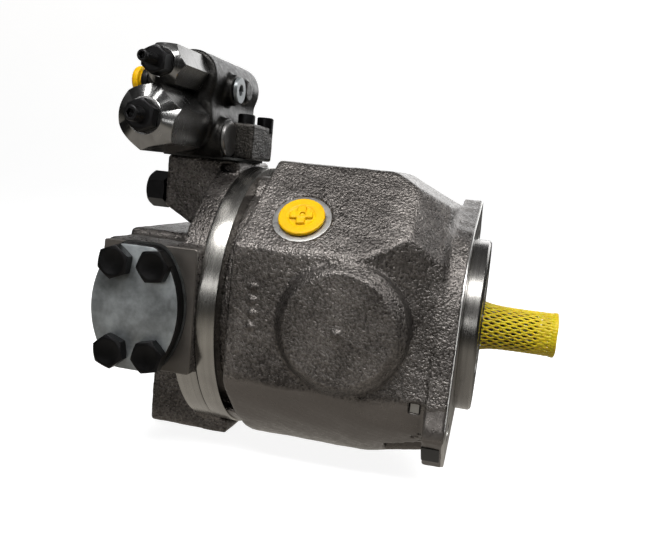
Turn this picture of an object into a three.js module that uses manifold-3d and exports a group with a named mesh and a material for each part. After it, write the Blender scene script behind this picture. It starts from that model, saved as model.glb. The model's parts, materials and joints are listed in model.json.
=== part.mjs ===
// Variable axial piston pump of the swash-plate kind, 28 cm3 per turn.
// Millimetres, +Z up. The origin is the centre of the mounting flange's face,
// +X runs out along the drive shaft, -Y is the pressure side and +Z the controller side.
import * as THREE from 'three';
import { mergeVertices } from 'three/addons/utils/BufferGeometryUtils.js';
import { ConvexGeometry } from 'three/addons/geometries/ConvexGeometry.js';
import Module from 'manifold-3d';

const wasm = await Module();
wasm.setup();

// ---- driving dimensions ----------------------------------------------------
const GAP = 0.3; // clearance between neighbouring pieces
const OVERCUT = 1; // how far a cutter runs past the face it cuts

// mounting flange, two holes on the diagonal
const PILOT_R = 50;
const PILOT_LENGTH = 9.5;
const FLANGE_THICKNESS = 12;
const FLANGE_DISC_R = 58;
const EAR_HOLE_R = 7;
const EAR_HOLE_AT = 140 / 2 / Math.SQRT2;
const EAR_R = 22;
const BOLT_CLEARANCE_R = 13;
const NECK_R = 62;

// housing casting
const JOINT_X = -137.4; // plane between housing and port plate
const BAND_X = -126.3; // front edge of the machined rim
const BAND_R = 79.3;
const BODY_BACK_X = -114;
const BODY_FRONT_X = -38;
const TOP_Z = 84;
const SIDE_Y = 75;
const CAVITY_R = 60;
const CAVITY_FRONT_X = -15;
const DRAIN_PLANE = 80; // distance of the 45 degree facets from the shaft axis
const DRAIN_X = -88;
const DRAIN_SEAT_R = 16;
const DRAIN_SEAT_DEPTH = 1.2;
const DRAIN_BORE_R = 8.6;
const BOSS_X = -61.5;
const BOSS_Z = 1.5;
const BOSS_FOOT_R = 35;
const BOSS_FACE_R = 28;
const BOSS_FACE_Y = 81.5;

// rotating group
const PISTONS = 9;
const BALL_X = -52; // plane of the piston ball centres, and of the swash axis
const PITCH_R = 29;
const BALL_CIRCLE_R = 29.5;
const PISTON_R = 8;
const BALL_R = 5.5;
const BORE_R = 8.75;
const BLOCK_R = 41.5;
const BLOCK_FRONT_X = -66;
const BLOCK_BACK_X = -122;
const SHAFT_R = 12.4;
const SHAFT_END_R = 11.1;
const SHAFT_END_X = 41;
const SHAFT_TAIL_R = 10;
const SHAFT_TAIL_X = -152;
const VALVE_PLATE_X = -126.2;
const KIDNEY_R = 31;

// swash plate and its two control pistons
const SWASH_FACE_X = BALL_X + 8.3;
const SWASH_R = 44;
const SWASH_HOLE_R = 17.8; // clears the retaining ball at full tilt
const CRADLE_R = 31.6;
const CRADLE_IN_Y = 27;
const CRADLE_OUT_Y = 43;
const STROKE_Y = -18;
const STROKE_Z = 60;
const STROKE_R = 7.5;
const BIAS_Z = -50;
const ARM_CONTACT_X = BALL_X - 2;

// port plate
const PLATE_RIM_X = -150.7;
const PLATE_BACK_X = -185;
const PORT_X = -166.3;
const PORT_FACE_Y = 82;
const HUB_BACK_X = -195;
const COLUMN_Y = 28;

// flow and pressure controller, its two bores run along Y
const CONTROL_FRONT_Y = -45;
const CONTROL_BACK_Y = 28;
const CONTROL_FLOOR_Z = 82.6;
const PRESSURE_AXIS = { x: -168, z: 99.5 };
const FLOW_AXIS = { x: -164.5, z: 127.5 };
const CONTROL_SIDE_X = -146;
const SCREW_TIP_Y = -102;
const SIDE_PLUG = { y: -21, z: 122 };
const PORT_PLUG = { y: -34, z: 122 };

// ---- colours ---------------------------------------------------------------
const CAST_IRON = { color: 0x5f5a57, roughness: 0.6, metalness: 0.75 };
const TURNED_STEEL = { color: 0xb9b8b4, roughness: 0.3, metalness: 1 };
const GROUND_STEEL = { color: 0xa7a9ab, roughness: 0.2, metalness: 1 };
const BLACK_STEEL = { color: 0x161617, roughness: 0.45, metalness: 0.8 };
const ZINC_PLATE = { color: 0x868b8b, roughness: 0.5, metalness: 0.8 };
const BRONZE = { color: 0xa8783c, roughness: 0.35, metalness: 1 };
const SPRING_STEEL = { color: 0x6f7276, roughness: 0.35, metalness: 1 };
const YELLOW_PLASTIC = { color: 0xf2c80a, roughness: 0.45, metalness: 0 };
const NET_PLASTIC = { color: 0xc9b81c, roughness: 0.4, metalness: 0 };
const SEAL_RUBBER = { color: 0x1b1b1b, roughness: 0.8, metalness: 0 };

// ---- geometry to solid and back --------------------------------------------
function solid(geometry) {
  const bare = geometry.clone();
  bare.deleteAttribute('normal');
  bare.deleteAttribute('uv');
  const merged = mergeVertices(bare, 1e-4);
  const corners = merged.attributes.position;
  const triangles = [];
  let volume = 0;
  const a = new THREE.Vector3();
  const b = new THREE.Vector3();
  const c = new THREE.Vector3();
  for (let i = 0; i < merged.index.count; i += 3) {
    const [p, q, r] = [0, 1, 2].map((k) => merged.index.getX(i + k));
    if (p === q || q === r || r === p) continue;
    a.fromBufferAttribute(corners, p);
    b.fromBufferAttribute(corners, q);
    c.fromBufferAttribute(corners, r);
    volume += a.dot(b.cross(c));
    triangles.push([p, q, r]);
  }
  const outward = volume < 0 ? triangles.map(([p, q, r]) => [p, r, q]) : triangles;
  return new wasm.Manifold(new wasm.Mesh({
    numProp: 3,
    vertProperties: new Float32Array(corners.array),
    triVerts: new Uint32Array(outward.flat()),
  }));
}

function geometryOf(body) {
  const mesh = body.getMesh();
  const geometry = new THREE.BufferGeometry();
  geometry.setAttribute('position', new THREE.BufferAttribute(mesh.vertProperties, 3));
  geometry.setIndex(new THREE.BufferAttribute(mesh.triVerts, 1));
  return geometry;
}

function join(first, ...others) {
  return others.reduce((sum, next) => sum.add(next), first);
}

function cut(first, ...others) {
  return others.reduce((rest, next) => rest.subtract(next), first);
}

// ---- primitives ------------------------------------------------------------
// The axis of a turned shape is laid along +X, +Y or +Z.
const ALONG = {
  x: new THREE.Matrix4().makeRotationZ(-Math.PI / 2),
  y: new THREE.Matrix4(),
  z: new THREE.Matrix4().makeRotationX(Math.PI / 2),
};

function moved(geometry, x, y, z) {
  return geometry.translate(x, y, z);
}

function rodX(r, x0, x1, y = 0, z = 0, sides = 32, rEnd = r) {
  const rod = new THREE.CylinderGeometry(rEnd, r, x1 - x0, sides);
  rod.applyMatrix4(ALONG.x);
  return solid(moved(rod, (x0 + x1) / 2, y, z));
}

function rodY(r, y0, y1, x = 0, z = 0, sides = 24, rEnd = r) {
  const rod = new THREE.CylinderGeometry(rEnd, r, y1 - y0, sides);
  return solid(moved(rod, x, (y0 + y1) / 2, z));
}

function rodZ(r, z0, z1, x = 0, y = 0, sides = 24) {
  const rod = new THREE.CylinderGeometry(r, r, z1 - z0, sides);
  rod.applyMatrix4(ALONG.z);
  return solid(moved(rod, x, y, (z0 + z1) / 2));
}

function block(x0, x1, y0, y1, z0, z1) {
  const box = new THREE.BoxGeometry(x1 - x0, y1 - y0, z1 - z0);
  return solid(moved(box, (x0 + x1) / 2, (y0 + y1) / 2, (z0 + z1) / 2));
}

// Profile points are [position along the axis, radius].
function turned(profile, axis = 'x', sides = 32) {
  const points = profile.map(([along, radius]) => new THREE.Vector2(radius, along));
  const lathe = new THREE.LatheGeometry(points, sides);
  lathe.applyMatrix4(ALONG[axis]);
  return solid(lathe);
}

function turnedRing(x0, x1, rIn, rOut, sides = 32) {
  return turned([[x0, rIn], [x0, rOut], [x1, rOut], [x1, rIn], [x0, rIn]], 'x', sides);
}

// Outline in the YZ plane, pushed along X.
function prismX(outline, x0, x1) {
  const shape = new THREE.Shape(outline.map(([y, z]) => new THREE.Vector2(y, z)));
  const prism = new THREE.ExtrudeGeometry(shape, { depth: x1 - x0, bevelEnabled: false });
  const turn = new THREE.Matrix4().makeBasis(
    new THREE.Vector3(0, 1, 0),
    new THREE.Vector3(0, 0, 1),
    new THREE.Vector3(1, 0, 0),
  );
  prism.applyMatrix4(turn);
  return solid(moved(prism, x0, 0, 0));
}

// Outline in the XZ plane, pushed along Y.
function prismY(outline, y0, y1) {
  const shape = new THREE.Shape(outline.map(([x, z]) => new THREE.Vector2(x, z)));
  const prism = new THREE.ExtrudeGeometry(shape, { depth: y1 - y0, bevelEnabled: false });
  const turn = new THREE.Matrix4().makeBasis(
    new THREE.Vector3(1, 0, 0),
    new THREE.Vector3(0, 0, 1),
    new THREE.Vector3(0, -1, 0),
  );
  prism.applyMatrix4(turn);
  return solid(moved(prism, 0, y1, 0));
}

// Hexagonal bars, with a corner at `corner` degrees above the horizontal.
function hexY(acrossFlats, y0, y1, x, z, corner = 0) {
  const bar = rodY(acrossFlats / Math.sqrt(3), y0, y1, 0, 0, 6);
  return bar.rotate([0, -30 - corner, 0]).translate([x, 0, z]);
}

function hexX(acrossFlats, x0, x1, y, z) {
  const bar = rodX(acrossFlats / Math.sqrt(3), x0, x1, 0, 0, 6);
  return bar.rotate([30, 0, 0]).translate([0, y, z]);
}

function arc(centreA, centreB, r, from, to, steps) {
  const points = [];
  for (let i = 0; i <= steps; i += 1) {
    const angle = from + ((to - from) * i) / steps;
    points.push([centreA + r * Math.cos(angle), centreB + r * Math.sin(angle)]);
  }
  return points;
}

// Convex body through outlines in YZ, one at each X.
function hullX(sections) {
  const points = sections.flatMap(
    ([x, outline]) => outline.map(([y, z]) => new THREE.Vector3(x, y, z)),
  );
  return solid(new ConvexGeometry(points));
}

class Helix extends THREE.Curve {
  constructor(r, pitch, turns, start, axis) {
    super();
    Object.assign(this, { r, pitch, turns, start, axis });
  }

  getPoint(t, target = new THREE.Vector3()) {
    const angle = t * this.turns * 2 * Math.PI;
    const along = this.start + t * this.turns * this.pitch;
    const [u, v] = [this.r * Math.cos(angle), this.r * Math.sin(angle)];
    if (this.axis === 'x') return target.set(along, u, v);
    return target.set(u, along, v);
  }
}

function spring({ r, wire, turns, from, to, axis, y = 0, x = 0, z = 0 }) {
  const pitch = (to - from - wire) / turns;
  const path = new Helix(r, pitch, turns, from + wire / 2, axis);
  const section = new THREE.Shape().absarc(0, 0, wire / 2, 0, 2 * Math.PI);
  const coil = new THREE.ExtrudeGeometry(section, {
    steps: turns * 8,
    curveSegments: 2,
    bevelEnabled: false,
    extrudePath: path,
  });
  return solid(moved(coil, x, y, z));
}

// Places a piece that was made around the X axis at one station of the piston circle.
function station(body, index, radius) {
  const angle = (index * 360) / PISTONS;
  return body.translate([0, 0, radius]).rotate([angle, 0, 0]);
}

// ---- housing ---------------------------------------------------------------
function bodySection(shrink = 0) {
  const half = [
    [0, -82 + shrink],
    [28, -78 + shrink],
    [52, -64 + shrink],
    [70 - shrink, -44],
    [SIDE_Y - shrink, -33],
    [SIDE_Y - shrink, DRAIN_PLANE * Math.SQRT2 - SIDE_Y - shrink],
    [DRAIN_PLANE * Math.SQRT2 - TOP_Z, TOP_Z - shrink],
  ];
  const mirrored = half.slice(1).reverse().map(([y, z]) => [-y, z]);
  return [...half, ...mirrored];
}

function flangeOutline() {
  const quarter = Math.PI / 4;
  return [
    ...arc(EAR_HOLE_AT, EAR_HOLE_AT, EAR_R, -quarter * 0.6, quarter * 2.6, 8),
    ...arc(0, 0, FLANGE_DISC_R, quarter * 2.7, quarter * 3.3, 3),
    ...arc(-EAR_HOLE_AT, -EAR_HOLE_AT, EAR_R, quarter * 3.4, quarter * 6.6, 8),
    ...arc(0, 0, FLANGE_DISC_R, quarter * 6.7, quarter * 7.3, 3),
  ];
}

function facetBore(r, depth, sides) {
  // a hole straight into the near 45 degree facet, at the drain port
  return rodZ(r, DRAIN_PLANE - depth, DRAIN_PLANE + 3, 0, 0, sides)
    .rotate([45, 0, 0])
    .translate([DRAIN_X, 0, 0]);
}

function makeHousing() {
  const neck = arc(0, 0, NECK_R + 1, 0, 2 * Math.PI, 20).slice(1);
  const rimBack = arc(0, 0, BAND_R - 1.5, 0, 2 * Math.PI, 24).slice(1);
  const body = hullX([
    [BAND_X - 0.5, rimBack],
    [BODY_BACK_X, bodySection()],
    [BODY_FRONT_X, bodySection()],
    [-FLANGE_THICKNESS - 3, neck],
  ]);
  const rim = rodX(BAND_R, JOINT_X + GAP / 2, BAND_X, 0, 0, 40);
  const neckRod = rodX(NECK_R, -FLANGE_THICKNESS - 4, -FLANGE_THICKNESS + 1, 0, 0, 28);
  const flange = prismX(flangeOutline(), -FLANGE_THICKNESS, 0);
  const pilot = rodX(PILOT_R, -1, PILOT_LENGTH, 0, 0, 36);
  const nearBoss = rodY(
    BOSS_FACE_R, -BOSS_FACE_Y, -SIDE_Y + 1, BOSS_X, BOSS_Z, 24, BOSS_FOOT_R,
  );
  const farBoss = rodY(BOSS_FOOT_R, SIDE_Y - 1, BOSS_FACE_Y, BOSS_X, BOSS_Z, 24, BOSS_FACE_R);
  const cavity = turned([
    [JOINT_X - OVERCUT, 0],
    [JOINT_X - OVERCUT, CAVITY_R],
    [-44, CAVITY_R],
    [CAVITY_FRONT_X, 52],
    [CAVITY_FRONT_X, 0],
  ], 'x', 28);
  const strokePocket = rodX(12, JOINT_X - OVERCUT, -34, STROKE_Y, STROKE_Z, 16);
  const bearingSeat = rodX(26.5, -20, -0.6, 0, 0, 24);
  const sealSeat = rodX(20.4, -2, PILOT_LENGTH + OVERCUT, 0, 0, 24);
  const earHoles = [1, -1].map((s) => rodX(
    EAR_HOLE_R, -FLANGE_THICKNESS - 22, OVERCUT, s * EAR_HOLE_AT, s * EAR_HOLE_AT, 18,
  ));
  const boltClearance = [1, -1].map((s) => rodX(
    BOLT_CLEARANCE_R, -34, -FLANGE_THICKNESS, s * EAR_HOLE_AT, s * EAR_HOLE_AT, 16,
  ));
  const shell = cut(
    join(body, rim, neckRod, flange, pilot, nearBoss, farBoss),
    cavity, strokePocket, bearingSeat, sealSeat, ...earHoles, ...boltClearance,
    facetBore(DRAIN_SEAT_R, DRAIN_SEAT_DEPTH, 24), facetBore(DRAIN_BORE_R, 40, 16),
  );
  const saddles = [1, -1].map((s) => cradleSaddle(s));
  return join(shell, ...saddles);
}

// Half-round seat that carries one cradle bearing shell.
function cradleSaddle(side) {
  const inner = CRADLE_IN_Y;
  const outer = CRADLE_OUT_Y;
  const [y0, y1] = side > 0 ? [inner, outer] : [-outer, -inner];
  const seat = block(BALL_X + 27, CAVITY_FRONT_X + 1, y0, y1, -29, 29);
  return cut(seat, rodY(CRADLE_R + 2.4, y0 - 1, y1 + 1, BALL_X, 0, 32));
}

// ---- port plate ------------------------------------------------------------
function makePortPlate() {
  const rim = rodX(BAND_R - 0.5, PLATE_RIM_X, JOINT_X - GAP, 0, 0, 36);
  const spigot = rodX(42.4, JOINT_X - 1, VALVE_PLATE_X - GAP, 0, 0, 28);
  const portBlock = block(-193, -140, -PORT_FACE_Y, PORT_FACE_Y, -37, 38);
  const hub = block(HUB_BACK_X, PLATE_RIM_X + 1, -48, 48, -44, 42);
  const column = block(PLATE_BACK_X, JOINT_X - GAP, -COLUMN_Y, COLUMN_Y, -85, 82);
  const bearingSeat = rodX(14.2, SHAFT_TAIL_X - 2, VALVE_PLATE_X + OVERCUT, 0, 0, 20);
  const shaftRelief = rodX(SHAFT_R + 1.8, -130, VALVE_PLATE_X + OVERCUT, 0, 0, 20);
  const strokeBore = rodX(
    STROKE_R + GAP, PLATE_BACK_X - OVERCUT, JOINT_X + OVERCUT, STROKE_Y, STROKE_Z, 16,
  );
  const biasGuide = rodX(4.6, -160, JOINT_X + OVERCUT, 0, BIAS_Z, 12);
  const pressure = passage(-1, 9.5);
  const suction = passage(1, 12);
  const screwHoles = [-1, 1].flatMap((s) => coverHoles(s));
  return cut(
    join(rim, spigot, portBlock, hub, column),
    bearingSeat, shaftRelief, strokeBore, biasGuide, pressure, suction, ...screwHoles,
  );
}

// Kidney passage from the valve plate, turning out to the port face on one side.
function passage(side, r) {
  const inner = rodX(8, PORT_X - 4, VALVE_PLATE_X + OVERCUT, side * KIDNEY_R, 0, 14);
  const faceY = side * (PORT_FACE_Y + OVERCUT);
  const [y0, y1] = side > 0 ? [KIDNEY_R, faceY] : [faceY, -KIDNEY_R];
  return join(inner, rodY(r, y0, y1, PORT_X, 0, 18));
}

// Screw spacing of the two ports, and the size of the cover on each.
const COVERS = {
  pressure: {
    side: -1, alongX: 22.2, alongZ: 47.6, halfWidth: 27.5, halfHeight: 33.5, sideR: 48,
  },
  suction: {
    side: 1, alongX: 30.2, alongZ: 52, halfWidth: 31, halfHeight: 36, sideR: 54,
  },
};
const SCREW_HOLE_R = 5.3;
const SCREW_SHANK_R = 4.9;
const SCREW_HEAD_FLATS = 16;
const SCREW_HEAD_HEIGHT = 6.4;

function boltPlaces({ alongX, alongZ }) {
  return [[1, 1], [-1, 1], [-1, -1], [1, -1]].map(
    ([sx, sz]) => [PORT_X + (sx * alongX) / 2, (sz * alongZ) / 2],
  );
}

function coverHoles(side) {
  const cover = side < 0 ? COVERS.pressure : COVERS.suction;
  const [y0, y1] = side < 0 ? [-PORT_FACE_Y - 1, -62] : [62, PORT_FACE_Y + 1];
  return boltPlaces(cover).map(([x, z]) => rodY(SCREW_HOLE_R, y0, y1, x, z, 10));
}

// ---- blanking covers and their bolts ----------------------------------------
const COVER_GASKET = 1.2;
const COVER_THICKNESS = 8;

function coverOutline({ halfWidth, halfHeight, sideR }) {
  const halfAngle = Math.asin((halfHeight - 2) / sideR);
  const right = arc(PORT_X + halfWidth - sideR, 0, sideR, -halfAngle, halfAngle, 6);
  const left = arc(
    PORT_X - halfWidth + sideR, 0, sideR, Math.PI - halfAngle, Math.PI + halfAngle, 6,
  );
  const topX = right[right.length - 1][0] - 3;
  const bottomX = 2 * PORT_X - topX;
  return [
    ...right,
    [topX, halfHeight],
    [bottomX, halfHeight],
    ...left,
    [bottomX, -halfHeight],
    [topX, -halfHeight],
  ];
}

function makeCover(cover) {
  const inner = PORT_FACE_Y + COVER_GASKET;
  const outer = inner + COVER_THICKNESS;
  const [y0, y1] = cover.side < 0 ? [-outer, -inner] : [inner, outer];
  const plate = prismY(coverOutline(cover), y0, y1);
  const holes = boltPlaces(cover).map(
    ([x, z]) => rodY(SCREW_HOLE_R, y0 - OVERCUT, y1 + OVERCUT, x, z, 10),
  );
  return cut(plate, ...holes);
}

function makeCoverBolt([x, z]) {
  const seatY = -(PORT_FACE_Y + COVER_GASKET + COVER_THICKNESS + 0.1);
  const head = hexY(SCREW_HEAD_FLATS, seatY - SCREW_HEAD_HEIGHT, seatY, x, z);
  return join(head, rodY(SCREW_SHANK_R, seatY - 1, seatY + 26, x, z, 10));
}

// ---- rotating group --------------------------------------------------------
function makeShaft() {
  return turned([
    [SHAFT_TAIL_X, 0],
    [SHAFT_TAIL_X, SHAFT_TAIL_R - 1],
    [SHAFT_TAIL_X + 1, SHAFT_TAIL_R],
    [-128, SHAFT_TAIL_R],
    [-128, SHAFT_R],
    [-25, SHAFT_R],
    [-25, SHAFT_R + 3.6],
    [-21.2, SHAFT_R + 3.6],
    [-21.2, SHAFT_R],
    [PILOT_LENGTH - 1.5, SHAFT_R],
    [PILOT_LENGTH - 1.5, SHAFT_END_R],
    [SHAFT_END_X - 1.5, SHAFT_END_R],
    [SHAFT_END_X, SHAFT_END_R - 1.5],
    [SHAFT_END_X, 0],
  ], 'x', 20);
}

function makeCylinderBlock() {
  const outer = rodX(BLOCK_R, BLOCK_BACK_X, BLOCK_FRONT_X, 0, 0, 27);
  const hub = rodX(SHAFT_R + 0.6, BLOCK_BACK_X - 1, BLOCK_FRONT_X + 1, 0, 0, 20);
  const springRoom = rodX(18.2, -102, BLOCK_FRONT_X + 1, 0, 0, 20);
  const cuts = [];
  for (let i = 0; i < PISTONS; i += 1) {
    cuts.push(station(rodX(BORE_R, -116, BLOCK_FRONT_X + 1, 0, 0, 16), i, PITCH_R));
    cuts.push(station(rodX(4.5, BLOCK_BACK_X - 1, -115, 0, 0, 8), i, KIDNEY_R - 1));
  }
  return cut(outer, hub, springRoom, ...cuts);
}

function makePiston() {
  const neckR = 3.4;
  const neckFrom = BALL_X - Math.sqrt(BALL_R ** 2 - neckR ** 2);
  const ball = arc(BALL_X, 0, BALL_R, 0, Math.acos((neckFrom - BALL_X) / BALL_R), 4);
  ball[0][1] = 0;
  return turned([
    ...ball,
    [BALL_X - 9, neckR],
    [BALL_X - 11, PISTON_R],
    [BALL_X - 52, PISTON_R],
    [BALL_X - 52, 4.6],
    [BALL_X - 20, 4.6],
    [BALL_X - 17, 0],
  ], 'x', 12);
}

function makeSlipper() {
  const socketR = BALL_R + 0.6;
  const lipX = BALL_X - 2.5;
  const from = Math.acos((lipX - BALL_X) / socketR);
  const socket = arc(BALL_X, 0, socketR, from, 0, 4);
  socket[socket.length - 1][1] = 0;
  return turned([
    [SWASH_FACE_X - GAP, 0],
    [SWASH_FACE_X - GAP, 9.2],
    [BALL_X + 4.3, 9.2],
    [BALL_X + 4.3, 6.9],
    [lipX, 6.9],
    ...socket,
  ], 'x', 12);
}

function makeRetainingPlate() {
  const plate = turnedRing(BALL_X + 2.2, BALL_X + 3.9, 19.5, 40, 27);
  const holes = [];
  for (let i = 0; i < PISTONS; i += 1) {
    holes.push(station(rodX(7.5, BALL_X, BALL_X + 6, 0, 0, 12), i, BALL_CIRCLE_R));
  }
  return cut(plate, ...holes);
}

// Ball-shaped collar on the shaft that centres the retaining plate.
function makeRetainingBall() {
  const ballR = 18.6;
  const dome = arc(BALL_X, 0, ballR, Math.acos(5.5 / ballR), Math.acos(-6 / ballR), 4);
  return turned([
    [BALL_X + 5.5, SHAFT_R + 0.4],
    ...dome,
    [BLOCK_FRONT_X - 6, 17.4],
    [BLOCK_FRONT_X - 6, SHAFT_R + 0.4],
    [BALL_X + 5.5, SHAFT_R + 0.4],
  ], 'x', 20);
}

function makeSwashPlate() {
  const backX = SWASH_FACE_X + 9;
  const disc = rodX(SWASH_R, SWASH_FACE_X, backX, 0, 0, 32);
  const rockers = [1, -1].map((s) => {
    const [y0, y1] = s > 0 ? [CRADLE_IN_Y, CRADLE_OUT_Y] : [-CRADLE_OUT_Y, -CRADLE_IN_Y];
    const round = rodY(CRADLE_R, y0 + 0.5, y1 - 0.5, BALL_X, 0, 32);
    return cut(round, block(BALL_X - 50, SWASH_FACE_X + 1, -60, 60, -60, 60));
  });
  const strokeArm = block(ARM_CONTACT_X, SWASH_FACE_X + 7, STROKE_Y - 8, STROKE_Y + 8, 45.5, 66);
  const strokeWeb = block(SWASH_FACE_X, SWASH_FACE_X + 7, STROKE_Y - 8, STROKE_Y + 8, 38, 50);
  const biasArm = block(ARM_CONTACT_X, SWASH_FACE_X + 7, -8, 8, -56, -45.5);
  const biasWeb = block(SWASH_FACE_X, SWASH_FACE_X + 7, -8, 8, -50, -38);
  const shaftHole = rodX(
    SWASH_HOLE_R, SWASH_FACE_X - OVERCUT, BALL_X + CRADLE_R + OVERCUT, 0, 0, 24, 25,
  );
  return cut(join(disc, ...rockers, strokeArm, strokeWeb, biasArm, biasWeb), shaftHole);
}

// Bearing shell between one rocker of the swash plate and its saddle.
function makeCradleBearing(side) {
  const halfAngle = (37 * Math.PI) / 180;
  const outline = [
    ...arc(BALL_X, 0, CRADLE_R + GAP, -halfAngle, halfAngle, 10),
    ...arc(BALL_X, 0, CRADLE_R + 1.9, halfAngle, -halfAngle, 10),
  ];
  const [y0, y1] = side > 0 ? [CRADLE_IN_Y, CRADLE_OUT_Y] : [-CRADLE_OUT_Y, -CRADLE_IN_Y];
  return prismY(outline, y0, y1);
}

function makeValvePlate() {
  const disc = turnedRing(VALVE_PLATE_X, BLOCK_BACK_X - GAP, 14.5, 41, 28);
  return cut(disc, kidney(1), kidney(-1));
}

// Kidney-shaped slot that follows the port circle on one side.
function kidney(side) {
  const halfAngle = (62 * Math.PI) / 180;
  const middle = side > 0 ? 0 : Math.PI;
  const outline = [
    ...arc(0, 0, KIDNEY_R + 3.4, middle - halfAngle, middle + halfAngle, 7),
    ...arc(0, 0, KIDNEY_R - 3.4, middle + halfAngle, middle - halfAngle, 7),
  ];
  return prismX(outline, VALVE_PLATE_X - 1, BLOCK_BACK_X + 1);
}

// ---- bearings and seal -----------------------------------------------------
const FRONT_BEARING = { from: -20.6, to: -2, rIn: SHAFT_R + 0.3, rOut: 26 };

function makeFrontCone() {
  const { from, to, rIn } = FRONT_BEARING;
  return turned([
    [from, rIn], [from, rIn + 3.4], [to, rIn + 1.8], [to, rIn], [from, rIn],
  ], 'x', 20);
}

function makeFrontCup() {
  const { from, to, rOut } = FRONT_BEARING;
  return turned([
    [from + 1, rOut - 2.2], [from + 1, rOut], [to, rOut], [to, rOut - 4.6],
    [from + 1, rOut - 2.2],
  ], 'x', 20);
}

// Tapered rollers held in a ring, one body.
function makeFrontRollers() {
  const { from, to, rIn, rOut } = FRONT_BEARING;
  const ring = turned([
    [from + 1.5, rIn + 4.9], [from + 1.5, rOut - 5], [to - 1.5, rOut - 6.6],
    [to - 1.5, rIn + 3.4], [from + 1.5, rIn + 4.9],
  ], 'x', 20);
  const rollers = [];
  for (let i = 0; i < 12; i += 1) {
    const roller = rodX(2.4, from + 2, to - 2, 0, 0, 6, 1.8)
      .rotate([0, 5.5, 0])
      .translate([-0.9, 0, 18.6]);
    rollers.push(roller.rotate([i * 30, 0, 0]));
  }
  return join(ring, ...rollers);
}

function makeRearRollers() {
  const ring = turnedRing(SHAFT_TAIL_X, -131.5, SHAFT_TAIL_R + 0.9, SHAFT_TAIL_R + 2.9, 20);
  const needles = [];
  for (let i = 0; i < 10; i += 1) {
    const needle = rodX(1.7, SHAFT_TAIL_X + 2, -133.5, 0, SHAFT_TAIL_R + 2.0, 5);
    needles.push(needle.rotate([i * 36, 0, 0]));
  }
  return join(ring, ...needles);
}

function makeShaftSeal() {
  return turned([
    [0.6, 20], [7.6, 20], [7.6, SHAFT_R + 1.6], [6, SHAFT_R + GAP],
    [4, SHAFT_R + 3], [0.6, 17.5], [0.6, 20],
  ], 'x', 20);
}

// Open plastic net pulled over the shaft end, as a plain closed tube.
function makeShaftSleeve() {
  return turned([
    [PILOT_LENGTH + 0.5, SHAFT_END_R + 0.5],
    [PILOT_LENGTH + 0.5, SHAFT_END_R + 3.2],
    [24, SHAFT_END_R + 1.4],
    [SHAFT_END_X + 11, SHAFT_END_R + 1.4],
    [SHAFT_END_X + 11, SHAFT_END_R + 0.5],
    [PILOT_LENGTH + 0.5, SHAFT_END_R + 0.5],
  ], 'x', 20);
}

// ---- control pistons -------------------------------------------------------
function makeStrokingPiston() {
  const contact = ARM_CONTACT_X - 0.5;
  return turned([
    [contact, 0], [contact - 1.2, 4], [contact - 3, STROKE_R], [-158, STROKE_R], [-158, 0],
  ], 'x', 16).translate([0, STROKE_Y, STROKE_Z]);
}

function makeBiasPiston() {
  const contact = ARM_CONTACT_X - 0.5;
  return turned([
    [contact, 0], [contact - 1.2, 4], [contact - 3, 7.4], [contact - 11, 7.4],
    [contact - 11, 4], [-152, 4], [-152, 0],
  ], 'x', 14).translate([0, 0, BIAS_Z]);
}

function makeBorePlug() {
  const seat = PLATE_BACK_X - GAP;
  const hex = hexX(19, seat - 12, seat, STROKE_Y, STROKE_Z);
  const shank = rodX(STROKE_R, seat - 1, PLATE_BACK_X + 9, STROKE_Y, STROKE_Z, 16);
  return join(hex, shank);
}

// ---- controller ------------------------------------------------------------
function makeControlBody() {
  const { x: px, z: pz } = PRESSURE_AXIS;
  const { x: fx, z: fz } = FLOW_AXIS;
  const lower = rodY(17.5, CONTROL_FRONT_Y, CONTROL_BACK_Y, px, pz + 1, 20);
  const upper = rodY(14.5, CONTROL_FRONT_Y, CONTROL_BACK_Y, fx, fz, 20);
  const web = block(px - 17, fx + 13, CONTROL_FRONT_Y, CONTROL_BACK_Y, CONTROL_FLOOR_Z, fz);
  const foot = block(-152, -133, -32, 14, CONTROL_FLOOR_Z, 104);
  const plugBoss = rodX(9, fx, CONTROL_SIDE_X, SIDE_PLUG.y, SIDE_PLUG.z, 16);
  const blankBoss = rodX(11, px, CONTROL_SIDE_X, -29, 94, 16);
  const portBoss = rodX(7, px - 24, px - 10, PORT_PLUG.y, PORT_PLUG.z, 16);
  const pressureBore = rodY(5.4, CONTROL_FRONT_Y - 1, 18, px, pz, 14);
  const flowBore = rodY(4.4, CONTROL_FRONT_Y - 1, 18, fx, fz, 14);
  const sidePlugSeat = rodX(
    5.2, CONTROL_SIDE_X - 8, CONTROL_SIDE_X + OVERCUT, SIDE_PLUG.y, SIDE_PLUG.z, 16,
  );
  return cut(
    join(lower, upper, web, foot, plugBoss, blankBoss, portBoss),
    pressureBore, flowBore, sidePlugSeat,
  );
}

// The spring cap of each bore, with the nut, spool and spring that go with it.
const CAPS = {
  pressure: {
    axis: PRESSURE_AXIS,
    flats: 31,
    corner: 16,
    front: -84,
    cone: -88.5,
    nose: 10.5,
    room: 12.2,
    hole: 4.4,
    nut: { flats: 17, height: 6 },
    spool: { r: 5, waist: 3 },
    wire: 3,
    turns: 4,
  },
  flow: {
    axis: FLOW_AXIS,
    flats: 19.6,
    corner: 0,
    front: -80,
    cone: -82.5,
    nose: 7.6,
    room: 7.4,
    hole: 3.4,
    nut: { flats: 13, height: 9 },
    spool: { r: 4, waist: 2.4 },
    wire: 1.6,
    turns: 5,
  },
};

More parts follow.
